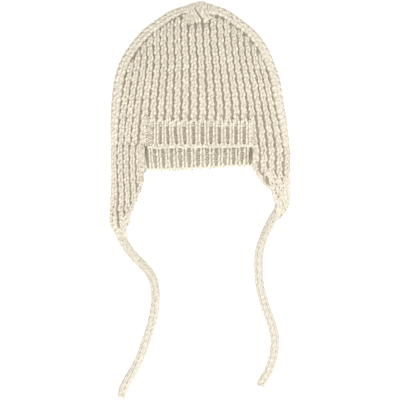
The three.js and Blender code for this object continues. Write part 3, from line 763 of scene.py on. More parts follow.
# %% [markdown]
# ## Gathered top
# At the top the last stitches are drawn together. A lobe of strands folds over the outline, and a few
# strands beside it dive under it, which leaves a slanting crease. Thin strands painted dark stand for the
# shade in that crease and in the folds nearby, and the thick strand under the lobe takes some painted shade.
# They are laid one by one through points read off the picture, because nothing in them repeats.

# %% Gathered top
LOBE = [
    [(-3, 111.8), (-2.4, 106.4), (-0.2, 102.2), (2.2, 99), (4.2, 95.4), (4.9, 91.6)],
    [(-0.2, 113), (0.6, 107.6), (2.4, 103.2), (4.8, 99.4), (7, 95.6), (7.8, 91.6)],
    [(2.6, 113.2), (3.4, 108.2), (4.9, 103.6)],
    [(5.3, 112.2), (5.6, 108), (6, 103.8), (7.8, 99.6), (10, 95.4)],
]
BESIDE = [
    [(-6.2, 111.6), (-6.3, 106.8), (-4.5, 102), (-2.1, 98.4), (-0.2, 95), (0.2, 91.6)],
    [(-9.2, 110.8), (-9.3, 106.2), (-7.7, 101.4), (-5.3, 97.8), (-3.4, 94.4), (-3.2, 91.4)],
    [(-12.4, 109.6), (-12.4, 105.2), (-11.2, 100.8), (-9.6, 97.6)],
    [(-15.6, 108.2), (-15.4, 104.2), (-14.4, 100.6)],
    [(-18.8, 106.8), (-18.2, 103), (-16.4, 99.6), (-14.2, 97)],
]
RIGHT_OF_LOBE = [
    [(9, 111.2), (8.9, 107), (9.2, 102.6), (11, 98.4), (12.6, 94.6)],
    [(12.2, 110.2), (12, 105.8), (12.4, 101.6), (14, 97.8)],
    [(15.6, 108.8), (15.2, 104.8), (15.6, 101)],
]
# dark strands: painted shade in the creases of the gathered top
CREASE_SHADES = [
    ([(-4.4, 105.6), (-1.9, 101.2), (0.4, 98), (2.2, 94.8), (2.6, 92.6), (1.4, 90.6)], 0.7),
    ([(7.3, 107.8), (6.7, 104.6), (6.6, 101.2), (7.2, 98.2)], 0.5),
    ([(9.4, 100.2), (11.4, 99.6), (13.4, 98.9)], 0.55),
    ([(16.6, 98.6), (17.6, 97.8)], 0.6), ([(20, 96.6), (23.2, 96)], 0.5),
    ([(31, 98.6), (32.2, 97.8)], 0.6),
    ([(-12.5, 101.9), (-16, 100.9), (-19.4, 99.7), (-22.6, 98.4)], 0.45),
    ([(-27, 96.6), (-29.2, 95.2)], 0.55),
]
UNDER_LOBE = [(-10.5, 102), (-10, 97), (-9, 91)]


def lay_strand(knit, points, thick, sides=9, deep=0.0):
    """One length of yarn through these points, thinner at both ends."""
    line = smooth(points, 5)
    share = np.linspace(0, 1, len(line))
    taper = 0.6 + 0.4 * np.sin(np.pi * share) ** 0.4
    radius = thick * taper * (1 + 0.05 * np.sin(np.arange(len(line)) * 1.3))
    knit.tubes(line[None], NEARLY_UP, radius, sides, deep, loose=0.45)


def upper_z(x, y):
    return float(upper_height(outline_distance(np.array([x]), np.array([y])), np.array([y]))[0])


def over_crown(points, lift):
    """These places of the upper layer, raised by lift."""
    return [(x, y, upper_z(x, y) + lift) for x, y in points]


def lay_on_top(knit, points, lift, thick, last_lift):
    """A strand on the upper layer, tucked round the outline at its start and lifted or sunk at its end."""
    x, y = points[0]
    lower = lambda back: float(lower_height(np.array([back]))[0])
    strand = [(x * 0.9, y - back, 0.8 + lower(back)) for back in (15.0, 10.0, 6.0, 3.2)]
    strand += [(x * 0.96, y - 1.2, 6.5), (x, y, 13.0)] + over_crown(points[1:], lift)
    x, y, z = strand[-1]
    strand[-1] = (x, y, z + last_lift)
    lay_strand(knit, strand, thick)


def gathered_top(knit):
    for strands, lift, thick, last_lift in (
        (LOBE, -0.9, 1.95, -1.0),
        (BESIDE, -1.8, 1.85, -1.4),
        (RIGHT_OF_LOBE, -1.4, 1.65, -1.0),
    ):
        for points in strands:
            lay_on_top(knit, points, lift, thick, last_lift)
    # painted shade in the creases
    for points, thick in CREASE_SHADES:
        lay_strand(knit, over_crown(points, 0.35), thick, 7, 0.85)
    # a thick strand under the lobe, with some painted shade
    lay_strand(knit, over_crown(UNDER_LOBE, -3.6), 3.4, 9, 0.3)
    for place in range(20):
        x = -13.6 + 2.3 * (place % 4) + rng.normal(0, 0.3)
        y = 100.5 - 2.2 * (place // 4) + rng.normal(0, 0.3)
        lean = rng.uniform(-1.2, 1.2)
        stitch = [(x - lean, y + 1.6, 1.1), (x, y, 0.4), (x + lean, y - 1.6, 1.1)]
        lay_strand(knit, [(px, py, upper_z(px, py) - sunk) for px, py, sunk in stitch], 1.15, 7, 0.05)
    return knit


gathered_top(knitted_edge).build("crown_edge_ribs", crown_wool, "chunky_rib_knit", "crown")

# %% [markdown]
# ## Wall of the crown
# Behind the stitches lies the rest of the yarn. A thin closed wall stands for it: its outer face follows
# the ribs from below, and its inner face, which shows through the face opening, has ribs and stitches of
# its own. Both faces are painted darker in their hollows, as shade.

# %% Wall
def offset_grid(grid, height):
    """The grid moved out of the fabric by a height for each point."""
    down = np.gradient(grid, axis=0)
    over = np.gradient(grid, axis=1)
    out = unit(np.cross(over, down))
    return grid + out * np.asarray(height)[..., None]


def rib_relief(marks):
    """1 in the middle of a rib and 0 in the groove."""
    return np.abs(np.sin(np.pi * marks)) ** 0.7


def stitch_relief(marks, s, pitch):
    """Low relief of the inside: ribs crossed by rows of stitches."""
    return rib_relief(marks) * (0.75 + 0.25 * np.cos(2 * np.pi * s / pitch + np.pi * marks))


def lay_wall(knit, grid, outside, inside, painted_shading):
    """A closed wall whose two faces lie these heights off the grid and take this painted shade."""
    knit.sheet(offset_grid(grid, outside), offset_grid(grid, inside), painted_shading)


def crown_wall():
    knit = Knit()
    parts = [(front, span) for front in (True, False) for span in ((-10, -6), (-6, 6), (6, 10))]
    for front, (first, last) in parts:
        marks = np.linspace(first, last, (last - first) * 8 + 1)
        columns = []
        for mark in marks:
            y = np.linspace(rim_y(marks.mean(), front), rib_top(mark, 0.6), 64)
            columns.append(crown_points(mark, y, front))
        grid = np.stack(columns if front else columns[::-1], 1)
        lines = np.broadcast_to(marks if front else marks[::-1], grid.shape[:2])
        beside_edge = outline_distance(grid[:, :, 0], grid[:, :, 1]) - edge_rib_at(grid[:, :, 1])
        raised = rib_relief(lines) * ease(beside_edge / 2.5)
        rows = stitch_relief(lines, grid[:, :, 1], ROW / 2)
        # painted shade: the outer face darker in the grooves, the inner face darker between the rows
        painted_shading = np.stack([0.95 - 0.5 * raised, 0.45 - 0.4 * rows])
        lay_wall(knit, grid, -3.3 + 1.1 * raised, -4.4 - 0.9 * rows, painted_shading)
    for side in (-1, 1):
        station = fold_station(side)
        turns = np.linspace(-0.3, 3.3, 37)
        order = turns[::-1] if side < 0 else turns
        grid = np.stack([fold_point(station, turn) for turn in order], 1)
        raised = rib_relief(np.broadcast_to(order, grid.shape[:2]))
        # painted shade: darker in the grooves round the fold
        painted_shading = np.stack([0.95 - 0.5 * raised, 0.7 - 0.5 * raised])
        lay_wall(knit, grid, -2.9 + 0.9 * raised, -4.2 - 0.5 * raised, painted_shading)
    return knit


crown_wall().build("crown_wall", crown_wool, "chunky_rib_knit", "crown")

# %% [markdown]
# ## Forehead band
# The forehead band is knitted one by one rib: each rib shows two long smooth legs, and between two ribs
# lies a deep gap with the bars of the purl stitches in it. The ribs of the crown fork into it, so every gap
# of the band hangs under the middle of a crown rib. At both ends a ladder of short bars joins it to the
# side of the crown. Below, the legs flare into the cast-on edge, a twisted double strand.

# %% Forehead band lanes
BAND_CENTRE = HALF_WIDTH * RIB_LIE["centre"][0]
FRONT_BAND_PITCH = 8.6
FRONT_EDGE_Y = FRONT_RIM_Y - FRONT_BAND_DEPTH
BAND_LEG = [
    [1.3, 0.165, -0.8, 0.9, 0.4],
    [1.05, 0.172, 0.0, 1.1, 0.05],
    [0.7, 0.178, 0.12, 1.16, 0.0],
    [0.35, 0.186, 0.18, 1.2, 0.0],
    [0.02, 0.194, 0.08, 1.16, 0.0],
    [-0.2, 0.19, -0.7, 0.95, 0.35],
]
FLARE_LEG = [
    [1.25, 0.18, -0.8, 0.95, 0.4],
    [0.95, 0.186, 0.05, 1.14, 0.0],
    [0.62, 0.2, 0.15, 1.2, 0.0],
    [0.34, 0.255, 0.12, 1.28, 0.0],
    [0.1, 0.35, -0.1, 1.35, 0.0],
    [-0.12, 0.43, -0.6, 1.25, 0.1],
]
FORK_LEG = [
    [1.1, 0.08, -1.6, 0.95, 0.5],
    [0.9, 0.11, -0.4, 1.15, 0.15],
    [0.66, 0.15, 0.2, 1.2, 0.0],
    [0.4, 0.21, 0.3, 1.2, 0.0],
    [0.18, 0.28, 0.2, 1.15, 0.0],
    [0.0, 0.33, 0.0, 1.05, 0.0],
    [-0.22, 0.35, -0.4, 0.9, 0.2],
]
BAND_LEAN = [-5.5, -4.5, -3.5, -2.5, -1.5, -0.5, 0.5], [0.0, 0.5, -1.0, -1.7, -1.0, -0.4, 0.0]


def front_band_points(mark, y):
    x = BAND_CENTRE + FRONT_BAND_PITCH * mark * (1 - 0.005 * np.abs(mark))
    x = x + np.interp(mark, *BAND_LEAN) * ease((y - FRONT_EDGE_Y) / 20)
    return np.stack([x + 0 * y, y, upper_height(outline_distance(x, y), y)], -1)


def front_band_lane(mark, outside=True):
    y = np.linspace(FRONT_EDGE_Y + 1.2, FRONT_RIM_Y + 1.0, 26)
    return lane_between(lambda shift: front_band_points(mark + shift, y), 0.5 if outside else -0.5)


print("forehead band rib:", round(front_band_lane(0).length, 1), "mm")

# %% Forehead band in yarn
BAND_PITCH = 4.9
# Place across, top, and the thickness of a base or how much higher a ladder starts.
LADDER_BASES = ((-51.6, -1.0, 2.3), (-48.4, -9.0, 2.2), (51.8, -5.0, 2.2))
LADDERS = ((-53.0, 1.0, 0.0), (-50.7, 0.0, 1.2), (-48.5, -9.0, 0.4), (50.6, -5.0, 0.0), (52.9, -3.0, 1.2))


def twisted_edge(knit, line, radius, turn_length, thick):
    """Two strands wound round each other along a line."""
    side = unit(np.cross(unit(np.gradient(line, axis=0)), UP))
    for phase in (0, np.pi):
        angle = 2 * np.pi * lengths_along(line) / turn_length + phase
        path = line + (side * np.cos(angle)[:, None] + UP * np.sin(angle)[:, None]) * radius
        knit.tubes(path[None], UP, thick, 9, 0.05)


def band_rib(knit, lane, first, spare, offset, steps, sides, wobble):
    feet = np.arange(first, lane.length - spare, BAND_PITCH)
    lay_stitches(knit, lane, feet, BAND_PITCH, BAND_LEG, offset, steps, sides, wobble)


def ladders(knit):
    for x, top, thick in LADDER_BASES:
        y = np.linspace(FRONT_EDGE_Y + 2.5, top, 5)
        # painted shade on the base strands under the ladders
        lay_strand(knit, over_crown([(x, at) for at in y], -3.0), thick, 9, 0.75)
    for x, top, shift in LADDERS:
        for y in np.arange(FRONT_EDGE_Y + 2.4 + shift, top, 2.2):
            lean, y = rng.normal(0.7, 0.6), y + rng.normal(0, 0.2)
            bar = ((-1.5, -lean, -1.9), (-0.5, 0.2, -1.1), (0.5, 0.4, -1.1), (1.5, lean, -1.9))
            points = [(x + aside, y + up, upper_z(x + aside, y + up) + lift) for aside, up, lift in bar]
            lay_strand(knit, points, 0.78, 7, 0.05)


def front_band():
    knit = Knit()
    for mark in range(-5, 7):
        lane = front_band_lane(mark)
        lay_stitches(knit, lane, [0.9], 5.2, FLARE_LEG, -1.2, 11, 8, 0.3)
        band_rib(knit, lane, 5.4, 4.5, -1.2, 11, 8, 0.5)
        band_rib(knit, front_band_lane(mark - 0.5, False), 2.0, 2.0, 4.4, 9, 6, 0.35)
    for mark in range(-6, 6):
        lane = front_band_lane(mark + 0.5)
        # purl bars in the gaps, with painted shade
        lay_bars(knit, lane, np.arange(4.5, lane.length - 5.0, BAND_PITCH / 2), 0.30, -2.9, deep=0.6)
        lay_bars(knit, lane, [lane.length - 5.2], 0.07, -2.0, 1.1, deep=0.0)
        lay_bars(knit, lane, [lane.length - 2.9], 0.12, -2.3, 1.3, deep=0.2)
    for k in range(-6, 6):
        lay_stitches(knit, crown_lane(k + 0.5, True), [-2.9], ROW, FORK_LEG, -1.5, 13, 8, 0.5)
    ladders(knit)
    x = np.linspace(-51.5, 50.5, 260)
    y = FRONT_EDGE_Y + 1.35 + 0.012 * x + 0.3 * np.sin(x / 2.1) + 0.25 * np.sin(x / 5.3)
    line = np.stack([x, y, upper_height(outline_distance(x, y), y) - 2.9], -1)
    twisted_edge(knit, line, 0.3, FRONT_BAND_PITCH / 2, 1.45)
    return knit


def front_band_wall(knit):
    marks = np.linspace(-6.2, 6.45, 12 * 12 + 1)
    y = np.linspace(FRONT_EDGE_Y + 1.4, FRONT_RIM_Y + 1.0, 40)
    grid = np.stack([front_band_points(mark, y) for mark in marks], 1)
    relief = np.abs(np.cos(np.pi * np.broadcast_to(marks, grid.shape[:2]))) ** 0.8
    relief = np.where((marks > -5.5) & (marks < 6.5), relief, 0.45)
    # painted shade: the face darker in the gaps between the ribs, the inner face darker behind them
    painted_shading = np.stack([0.95 - 0.75 * relief, 0.4 + 0.5 * relief])
    lay_wall(knit, grid, -3.5 + 1.6 * relief, -4.2 - 0.6 * (1 - relief), painted_shading)
    return knit


front_band_wall(front_band()).build("front_band_knit", band_wool, "band_knit", "front_band")

# %% [markdown]
# ## Nape band
# Through the face opening the inside of the nape band shows. It is the same rib, stretched a little by the
# weight of the knit, so its pairs of legs stand apart with wide grey gaps. Its edge is a thin hem. At both
# ends, where it turns round into the flaps, dark strands paint the flaps' shadow on it, its wall is painted
# darker along its top, as the shadow of the forehead band's edge, and it is painted darker towards its right
# end. It lies in the shade of the crown, so its wool is paler than the rest and glows a little: painted
# light.

# %% Nape band
BACK_BAND_PITCH = 9.4
BACK_BAND_DEPTH = 24.5
BACK_BAND_TILT = 4.0
FLAP_TOP_Y = -29.95
BACK_LEG = [
    [1.3, 0.15, -0.7, 0.9, 0.3],
    [1.05, 0.16, 0.2, 1.2, 0.0],
    [0.7, 0.172, 0.4, 1.28, 0.0],
    [0.35, 0.186, 0.45, 1.32, 0.0],
    [0.02, 0.196, 0.35, 1.28, 0.0],
    [-0.2, 0.19, -0.5, 0.95, 0.25],
]
SPLAY_LEG = [
    [1.3, 0.16, -0.7, 0.85, 0.3],
    [1.0, 0.175, 0.3, 1.22, 0.0],
    [0.65, 0.205, 0.45, 1.3, 0.0],
    [0.3, 0.26, 0.4, 1.32, 0.0],
    [0.0, 0.31, 0.1, 1.25, 0.0],
    [-0.12, 0.33, -0.9, 1.0, 0.1],
]
# dark strands: painted shadows where the nape band meets the flaps
NAPE_END_SHADOWS = [
    ([(50.4, -33, 5.2), (50.8, -40, 5.4), (51.4, -45, 5), (53, -49.5, 4.4)], 1.3),
    ([(-54, -33, 5.2), (-53.9, -44, 5.2), (-53.6, -52, 4.6)], 1),
]


def back_band_x(mark):
    return BAND_CENTRE + BACK_BAND_PITCH * mark * (1 - 0.01 * np.abs(mark))


def back_band_lane(mark, above=True):
    x = back_band_x(mark)
    bottom = FLAP_TOP_Y - BACK_BAND_DEPTH + BACK_BAND_TILT * ease(x / HALF_WIDTH + 0.4)
    top = FLAP_TOP_Y + 6.0
    y = np.linspace(bottom + 0.3, top, 20)
    z = np.full_like(y, 5.7 if above else 0.0)
    fall = (top - y) / 28
    lean = lambda m: -(0.5 if m < 0 else 0.15) * m * fall
    line_at = lambda shift: np.stack([back_band_x(mark + shift) + lean(mark + shift), y, z], -1)
    return lane_between(line_at, 0.5 if above else -0.5)


def back_band():
    knit = Knit()
    for mark in np.arange(-6.5, 7):
        # the lower layer's stitches take some painted shade
        for above, offset, painted_shading in ((True, -1.1, 0.0), (False, -1.25, 0.3)):
            lane = back_band_lane(mark if above else mark + 0.5, above)
            lay_stitches(knit, lane, [0.5], 5.9, SPLAY_LEG, offset, 10, 7, 0.7, painted_shading=painted_shading)
            feet = np.arange(5.8, lane.length - 2.0, BAND_PITCH)
            lay_stitches(knit, lane, feet, BAND_PITCH, BACK_LEG, offset, 10, 7, 1.3, painted_shading=painted_shading)
    for mark in range(-6, 7):
        lane = back_band_lane(mark)
        lay_bars(knit, lane, np.arange(2.2, lane.length - 1.0, BAND_PITCH / 2), 0.30, -2.3, 0.8, deep=0.5)
    for above, lift in ((True, -2.2), (False, 2.2)):
        hem = np.array([back_band_lane(mark, above).centre[0] for mark in np.linspace(-6.5, 6.6, 120)])
        knit.tubes((hem + (0.0, 1.0, lift))[None], NEARLY_UP, 1.25, 8, 0.1, 1.1)
    marks = np.linspace(-6.4, 6.5, 12 * 12 + 1)
    grid = np.stack([back_band_lane(mark).centre[:0:-1] for mark in marks], 1)
    relief = np.abs(np.sin(np.pi * np.broadcast_to(marks, grid.shape[:2]))) ** 0.8
    outer = grid + UP * (-2.6 + 0.8 * relief)[..., None]
    inner = grid + UP * (-3.2 - 0.7 * relief)[..., None]
    # painted shade: darker in the gaps, a painted shadow along the top under the edge of the forehead band,
    # and darker towards the right end; the back face is shaded too
    shade = 0.75 - 0.25 * relief + 0.5 * ease((grid[..., 1] - FLAP_TOP_Y + 8.0) / 4.0)
    shade = shade + 0.3 * ease((grid[..., 0] - 25.0) / 20.0)
    # painted shadows beside the flaps
    for points, thick in NAPE_END_SHADOWS:
        lay_strand(knit, points, thick, 7, 1.0)
    knit.sheet(outer, inner, np.stack([shade, 0.6 + 0.2 * relief]))
    return knit


# paler than the other wools and with a little glow: painted light that makes up for the shade of the crown
# over the nape band
nape_wool_painted_light = wool("nape_wool_painted_light", (0.97, 0.90, 0.755), (0.43, 0.35, 0.24), twist=0.25, painted_glow=0.07)
back_band().build("back_band_knit", nape_wool_painted_light, "band_knit", "back_band")

# %% [markdown]
# ## Ear flaps
# The two outer parts of the knit run on below the rim as ear flaps, folded double along the outer side.
# Their inner edges slant to a tip, so the ribs are cut off one by one, and a narrow border with loops
# follows the slant. Each flap is given by two columns of its outline and by the place and pitch of its ribs
# at the top and at the tip. There the knit is gathered into the tie, and its strands, the dark strands that
# paint the shade in its gaps and holes, and its loops are laid one by one through points read off the
# picture.

# %% Flap shapes
TIP_HEIGHT = 11.0
LEFT_FLAP = {
    "side": -1, "length": 81, "seam": -89.55, "heel": -55.1, "first": (5.8, 8.8), "pitch": (6.35, 6.2),
    "down": (0, 0.2, 0.46, 0.59, 0.7, 0.8, 0.91, 1),
    "outer": (0, 0, -0.01, 0.01, 0.03, 0.055, 0, -0.11),
    "width": (1, 1, 0.96, 0.87, 0.78, 0.7, 0.55, 0.36),
    "last": -107.5, "loose": 1.1,
    "middle": [(-80.5, -99), (-80.8, -106), (-79.6, -114), (-77.4, -122)],
    "middle_size": (2.5, 3.6, 3.6, 2.6),
    "strands": [
        ([(-89.2, -98), (-89.2, -104), (-88.2, -109.5), (-85.6, -113.5), (-83.4, -117.5)], 1.45),
        ([(-84.8, -97), (-85.2, -104), (-84.9, -109.5), (-83, -113.5), (-80.8, -118.5),
          (-79.2, -122)], 2.2),
        ([(-79.6, -100), (-79.2, -105), (-78.9, -110), (-79.9, -114), (-79.4, -118)], 1.35),
        ([(-77, -101.5), (-76.5, -106), (-76, -110.5), (-78, -114.5), (-77.6, -119)], 1.35),
        ([(-74.2, -99), (-74.2, -104), (-74, -108.5), (-76.2, -113), (-77, -117),
          (-75.6, -122)], 1.4),
        ([(-71.4, -98), (-71.8, -103), (-72.4, -107.4), (-74.6, -111.4)], 1.3),
    ],
    "tip_stitch": (5.2, 0.35),
    "bumps": [
        ([(-76.8, -115.8), (-74.6, -118.4), (-73.9, -121.4), (-73.8, -125.2)], 1.9, 0.5),
        ([(-83.4, -118), (-82.2, -119.2), (-81.4, -120.8)], 2.2, 0.4),
        ([(-80.2, -122.6), (-79, -125), (-77.6, -128.4)], 1.5, 0.3),
    ],
    "shades": [
        ([(-81, -109.8), (-80.5, -112)], 1.1),
        ([(-81.6, -96), (-81.8, -103), (-81.2, -109)], 0.5),
        ([(-87.4, -97), (-87.6, -104.5), (-86.8, -109)], 0.45), ([(-75.9, -97), (-75.5, -99)], 0.8),
        ([(-76.9, -100.2), (-76.5, -101.4)], 0.75),
        ([(-78.3, -104.2), (-77.9, -105.4)], 0.65), ([(-74.2, -102.2), (-73.8, -103.4)], 0.7),
        ([(-73, -107.6), (-72.3, -108.9)], 0.75),
        ([(-79.2, -116.8), (-79, -119.4), (-79.2, -121.6)], 0.7),
        ([(-77.7, -124), (-77.4, -125.6)], 0.85),
    ],
}
RIGHT_FLAP = {
    "side": 1, "length": 61, "seam": 90, "heel": 52.7, "first": (7.1, 4.2), "pitch": (8, 5.9),
    "down": (0, 0.15, 0.39, 0.55, 0.7, 0.85, 0.94, 1),
    "outer": (0, 0.03, 0.02, 0.015, 0.015, 0.01, -0.04, -0.1),
    "width": (1, 1.03, 1, 0.79, 0.58, 0.42, 0.36, 0.33),
    "last": -68.5, "loose": 1.5,
    "middle": [(80.5, -66), (81.5, -76), (82.6, -86), (81, -94), (77.4, -100)],
    "middle_size": (4.4, 4.6, 4.4, 4.2, 2.8),
    "strands": [
        ([(73.4, -66.6), (73.9, -76.5), (75.6, -82.6), (78.3, -88.2), (77.6, -93.7), (74.4, -98.9)], 1.9),
        ([(77, -66.6), (77.6, -76.5), (79.2, -82.8), (81.4, -88.7), (79.8, -94.7), (76.4, -100)], 1.9),
        ([(80.8, -66.6), (81.5, -77), (83, -83.4), (84, -89.5), (82, -95.4), (78.2, -101.4)], 1.95),
        ([(84.6, -66.6), (85.2, -77), (86.2, -83.4), (86.3, -89.4), (83.8, -95), (80.4, -99.8)], 1.85),
        ([(87.8, -66.6), (88, -76.4), (88.6, -83), (87.8, -88.8), (85.4, -93.2)], 1.8),
        ([(57.8, -58), (61.6, -63.6), (65, -68), (69.4, -71.2)], 1.4),
        ([(68.6, -57), (70, -63.5), (72, -72)], 1.5),
    ],
    "tip_stitch": (6.5, -0.2),
    "shades": [
        ([(65.9, -61), (66.8, -65.4), (67.3, -68.6)], 1.3), ([(63, -56.5), (63.8, -61)], 0.8),
        ([(71.9, -67.3), (72.6, -68.6)], 0.5), ([(75.2, -67.6), (77.2, -69.4)], 0.5),
        ([(82.4, -67), (83.6, -68.2)], 0.5), ([(81.8, -61.5), (82.4, -66)], 0.7),
        ([(81.2, -73.6), (81.9, -75.2)], 0.6), ([(78.2, -79.4), (78.8, -82.2)], 0.9),
        ([(74.6, -73), (75.2, -74.4)], 0.5), ([(75.6, -76.6), (76.2, -77.6)], 0.45),
        ([(82.2, -85), (83.8, -89.6)], 0.35), ([(85.6, -93.2), (84.8, -94.8)], 0.8),
        ([(81.6, -98.4), (81, -99.6)], 0.7), ([(75.4, -95.2), (75.7, -96.6)], 0.75),
        ([(74, -99.4), (74.2, -100.4)], 0.5), ([(72.9, -105.4), (73.1, -107.2)], 0.45),
    ],
    "bumps": [
        ([(x - 1.5, -68.6), (x, -67.4), (x + 1.5, -68.6)], 1.1, 0.2)
        for x in (73.6, 76.6, 79.6, 82.6, 85.4, 87.9)
    ],
}
BORDER_ROOM = 3.2
BORDER_REACH = (5.2, 2.4, 0.2)  # how far in its outer line, its middle and its inner line lie


def flap_height(distance, down, upper):
    s = ease(down)
    fold = mix(FOLD_HEIGHT, TIP_HEIGHT / 2, s)
    if not upper:
        share = np.clip(distance / mix(FOLD_REACH, TIP_HEIGHT / 2, s), 0, 1)
        return fold * (1 - np.sqrt(1 - (1 - share) ** 2))
    rise = mix(upper_height(HALF_WIDTH, FLAP_TOP_Y), TIP_HEIGHT, s)
    share = np.clip(distance / mix(HALF_WIDTH, TIP_HEIGHT, s), 0, 1)
    return mix(fold, rise, np.sqrt(1 - (1 - share) ** DOME_POWER))


def flap_width(flap, down):
    return abs(flap["seam"] - flap["heel"]) * value_at(flap, "down", "width", down)


def flap_points(flap, distance, down, upper):
    wide = abs(flap["seam"] - flap["heel"])
    outer = flap["seam"] + flap["side"] * wide * value_at(flap, "down", "outer", down)
    x = outer - flap["side"] * distance
    return np.stack([x, FLAP_TOP_Y - flap["length"] * down, flap_height(distance, down, upper)], -1)


def groove_distance(flap, mark, down):
    """Distance from the outer side of a groove; number 0 is the first one in from the fold."""
    late = ease((down - 0.35) / 0.4)
    return mix(*flap["first"], late) + mix(*flap["pitch"], late) * mark


def flap_fold(flap, turn, down):
    distance = groove_distance(flap, 0, down) * (1 - turn / 1.5) ** 2
    return flap_points(flap, distance, down, turn <= 1.5)


print("left flap is", flap_width(LEFT_FLAP, np.array([0.0, 0.5, 1.0])).round(1), "mm wide from rim to tip")

# %% Flap lanes
def flap_lanes(flap):
    """Lanes for the three ribs round the fold, and for the ribs and the border of both layers."""
    down = np.linspace(1.0, 0.0, 50)
    lanes = [
        lane_between(lambda shift: flap_fold(flap, turn + shift, down), flap["side"] / 2)
        for turn in (0.5, 1.5, 2.5)
    ]
    width = flap_width(flap, down)
    for upper in (True, False):
        half = 0.5 if (flap["side"] < 0) == upper else -0.5
        for mark in range(6):
            inside = groove_distance(flap, mark + 0.5, down) < width - BORDER_ROOM
            if inside.sum() < 8:
                continue
            part = down[inside]
            distance_at = lambda shift: groove_distance(flap, mark + 0.5 + shift, part)
            lanes.append(lane_between(lambda shift: flap_points(flap, distance_at(shift), part, upper), half))
        reach_at = lambda shift: np.interp(shift, (-0.5, 0.0, 0.5), BORDER_REACH)
        border_at = lambda shift: flap_points(flap, width - reach_at(shift), down, upper)
        lanes.append(lane_between(border_at, half))
    return lanes


def flap_wall(knit, flap):
    down = np.linspace(0.0, 1.0, 60)
    width = flap_width(flap, down)
    first = groove_distance(flap, 0, down)
    pitch = groove_distance(flap, 1, down) - first
    tip = ease((flap["last"] - FLAP_TOP_Y + flap["length"] * down) / 6.0)
    layer = [mix(first, width - 0.8, share) for share in np.linspace(1.0, 0.0, 48)]
    relief = [np.maximum(rib_relief((distance - first) / pitch), tip) for distance in layer]
    turns = np.linspace(0, 3, 25)[1:-1]
    columns = [flap_points(flap, distance, down, True) for distance in layer]
    columns += [flap_fold(flap, turn, down) for turn in turns]
    columns += [flap_points(flap, distance, down, False) for distance in layer[::-1]]
    relief = relief + [np.full(60, rib_relief(turn)) for turn in turns] + relief[::-1]
    order = -1 if flap["side"] > 0 else 1
    grid, relief = np.stack(columns[::order], 1), np.stack(relief[::order], 1)
    # painted shade: the wall is darker in the grooves
    lay_wall(knit, grid, -3.2 + 1.1 * relief, np.full(relief.shape, -4.3), 0.9 - 0.5 * relief)

# %% Ear flaps in yarn
# Columns: how far in from the edge, how much lower than the row, and the height off the flap.
SELVEDGE_LOOP = ((5.6, -2.0, -2.4), (3.2, -1.4, -0.6), (1.3, 0.0, -0.6), (1.0, 1.8, -1.8))


def selvedge(knit, flap):
    """Loops along the flap's inner edge, two for each row."""
    for y in np.arange(FLAP_TOP_Y - 1.5, FLAP_TOP_Y - 0.45 * flap["length"], -ROW / 2):
        loop = []
        for inward, lower, lift in SELVEDGE_LOOP:
            down = np.array([(FLAP_TOP_Y - y + lower) / flap["length"]]).clip(0, 1)
            point = flap_points(flap, flap_width(flap, down) - inward + rng.normal(0, 0.2), down, True)[0]
            loop.append(point + UP * lift)
        lay_strand(knit, loop, 1.35, 9, rng.uniform(0.0, 0.3))


def tip_height(flap, x, y, upper):
    """Height for a strand: on the flap as far as it goes, then down to the height of the tie."""
    down = (FLAP_TOP_Y - y) / flap["length"]
    past = ease((FLAP_TOP_Y - flap["length"] - y) / 10.0)
    here = np.array([min(down, 1.0)])
    outer = flap_points(flap, np.zeros(1), here, upper)[0, 0]
    inside = np.clip(np.array([abs(outer - x)]), 0.5, None)
    edge = float(flap_height(inside, here, upper)[0])
    return mix(edge - 1.5, 7.4, past) if upper else mix(edge + 1.5, 1.8, past)


def at_tip(flap, points, upper=True, lift=0.0):
    return np.array([(x, y, tip_height(flap, x, y, upper) + lift) for x, y in points])


def gathered_tip(knit, flap):
    """The listed strands at the tip, once above and once below, round a thick middle."""
    middle, size = np.array(flap["middle"]), np.array(flap["middle_size"])
    line = smooth(np.insert(middle, 2, 5.5, axis=1), 6)
    radius = np.interp(np.linspace(0, 1, len(line)), np.linspace(0, 1, len(size)), size)
    # the thick middle takes some painted shade
    knit.tubes(line[None], UP, radius, 16, 0.4)
    pitch, lift = flap["tip_stitch"]
    for points, thick in flap["strands"]:
        for upper, way in ((True, 1), (False, -1)):
            strand = at_tip(flap, points, upper)
            lay_strand(knit, strand - UP * (0.5 * way), thick)
            centre = smooth(strand[::-1], 6)
            aside = np.array([thick * 1.1 * way, 0.0, 0.0])
            lane = Lane(centre, centre - aside, centre + aside)
            feet = np.arange(0.5, lane.length - 1.0, pitch) + rng.uniform(-1.0, 1.0)
            lay_stitches(knit, lane, feet, pitch, CORD_LEG, lift, 9, 7, 0.8)
    # the shades are dark strands: painted shade in the gaps and holes of the tip
    for points, thick in flap["shades"]:
        lay_strand(knit, at_tip(flap, points, lift=1.35), thick, 7, 0.85)
    for points, thick, raised in flap["bumps"]:
        lay_strand(knit, at_tip(flap, points, lift=raised), thick)


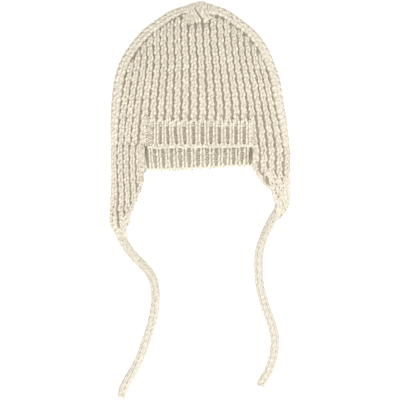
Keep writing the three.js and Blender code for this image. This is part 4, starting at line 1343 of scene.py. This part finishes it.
def ear_flap(name, node, flap):
    knit = Knit()
    for lane in flap_lanes(flap):
        ys = lane.centre[:, 1]
        first = math.ceil((max(ys[0], flap["last"]) - FIRST_FEET_Y + 1.0) / ROW)
        feet_y = FIRST_FEET_Y + ROW * np.arange(first, -2) + rng.normal(0, 0.35)
        feet_y = feet_y[feet_y < FLAP_TOP_Y + 1.0]
        order = np.argsort(ys)
        feet = np.interp(feet_y, ys[order], lane.run[order])
        lay_stitches(knit, lane, feet, ROW, RIB_LEG, -1.9, 13, 8, flap["loose"], 8.0, 1.5)
        lay_core(knit, lane, -2.6, 1.2, max(0.0, lane.length + flap["last"] - FLAP_TOP_Y), 1.0, feet, ROW)
    flap_wall(knit, flap)
    selvedge(knit, flap)
    gathered_tip(knit, flap)
    knit.build(name, crown_wool, "chunky_rib_knit", node)


ear_flap("ear_flap_left_knit", "ear_flap_left", LEFT_FLAP)
ear_flap("ear_flap_right_knit", "ear_flap_right", RIGHT_FLAP)

# %% [markdown]
# ## Floor and light
# A white floor and soft light from all round, a little stronger from above and in front, keep the shadows
# between the stitches soft. The floor also glows a little, so that the picture's ground is almost white. It
# is a single plane just under the knit and isn't part of the bonnet.

# %% Floor and light
FLOOR_REACH = 6.0
FLOOR_DROP = 0.0004


def floor_material():
    material, shader = new_material("floor_white", {
        "Roughness": 0.9, "Emission Color": (1.0, 1.0, 1.0, 1.0), "Emission Strength": 0.45,
    })
    grain = add_node(material, "TexNoise", {"Scale": 40.0})
    tone = add_ramp(material, (0.0, (0.93, 0.93, 0.93)), (1.0, (0.95, 0.95, 0.95)))
    join(material, (grain, "Fac", tone, "Fac"), (tone, "Color", shader, "Base Color"))
    return material


mesh = bpy.data.meshes.new("floor")
corners = [(x * FLOOR_REACH, y * FLOOR_REACH, 0) for x, y in ((-1, -1), (1, -1), (1, 1), (-1, 1))]
mesh.from_pydata(corners, [], [(0, 1, 2, 3)])
floor = bpy.data.objects.new("floor", mesh)
floor.location.z = -FLOOR_DROP
floor.data.materials.append(floor_material())
bpy.context.collection.objects.link(floor)


def soft_light(name, place, size, power):
    light = bpy.data.lights.new(name, "AREA")
    light.shape = "DISK"
    light.size = size
    light.energy = power
    lamp = bpy.data.objects.new(name, light)
    lamp.location = place
    aim = -lamp.location.normalized()
    lamp.rotation_euler = aim.to_track_quat("-Z", "Y").to_euler()
    bpy.context.collection.objects.link(lamp)


soft_light("key", (0.05, -1.4, 3.2), 1.2, 108.0)
soft_light("fill", (0.8, 1.9, 2.4), 1.6, 26.0)
world = bpy.data.worlds.new("studio")
world.use_nodes = True
sky = world.node_tree.nodes["Background"]
sky.inputs["Color"].default_value = (1.0, 1.0, 1.0, 1.0)
sky.inputs["Strength"].default_value = 0.36
bpy.context.scene.world = world
bpy.context.scene.view_settings.view_transform = "Standard"
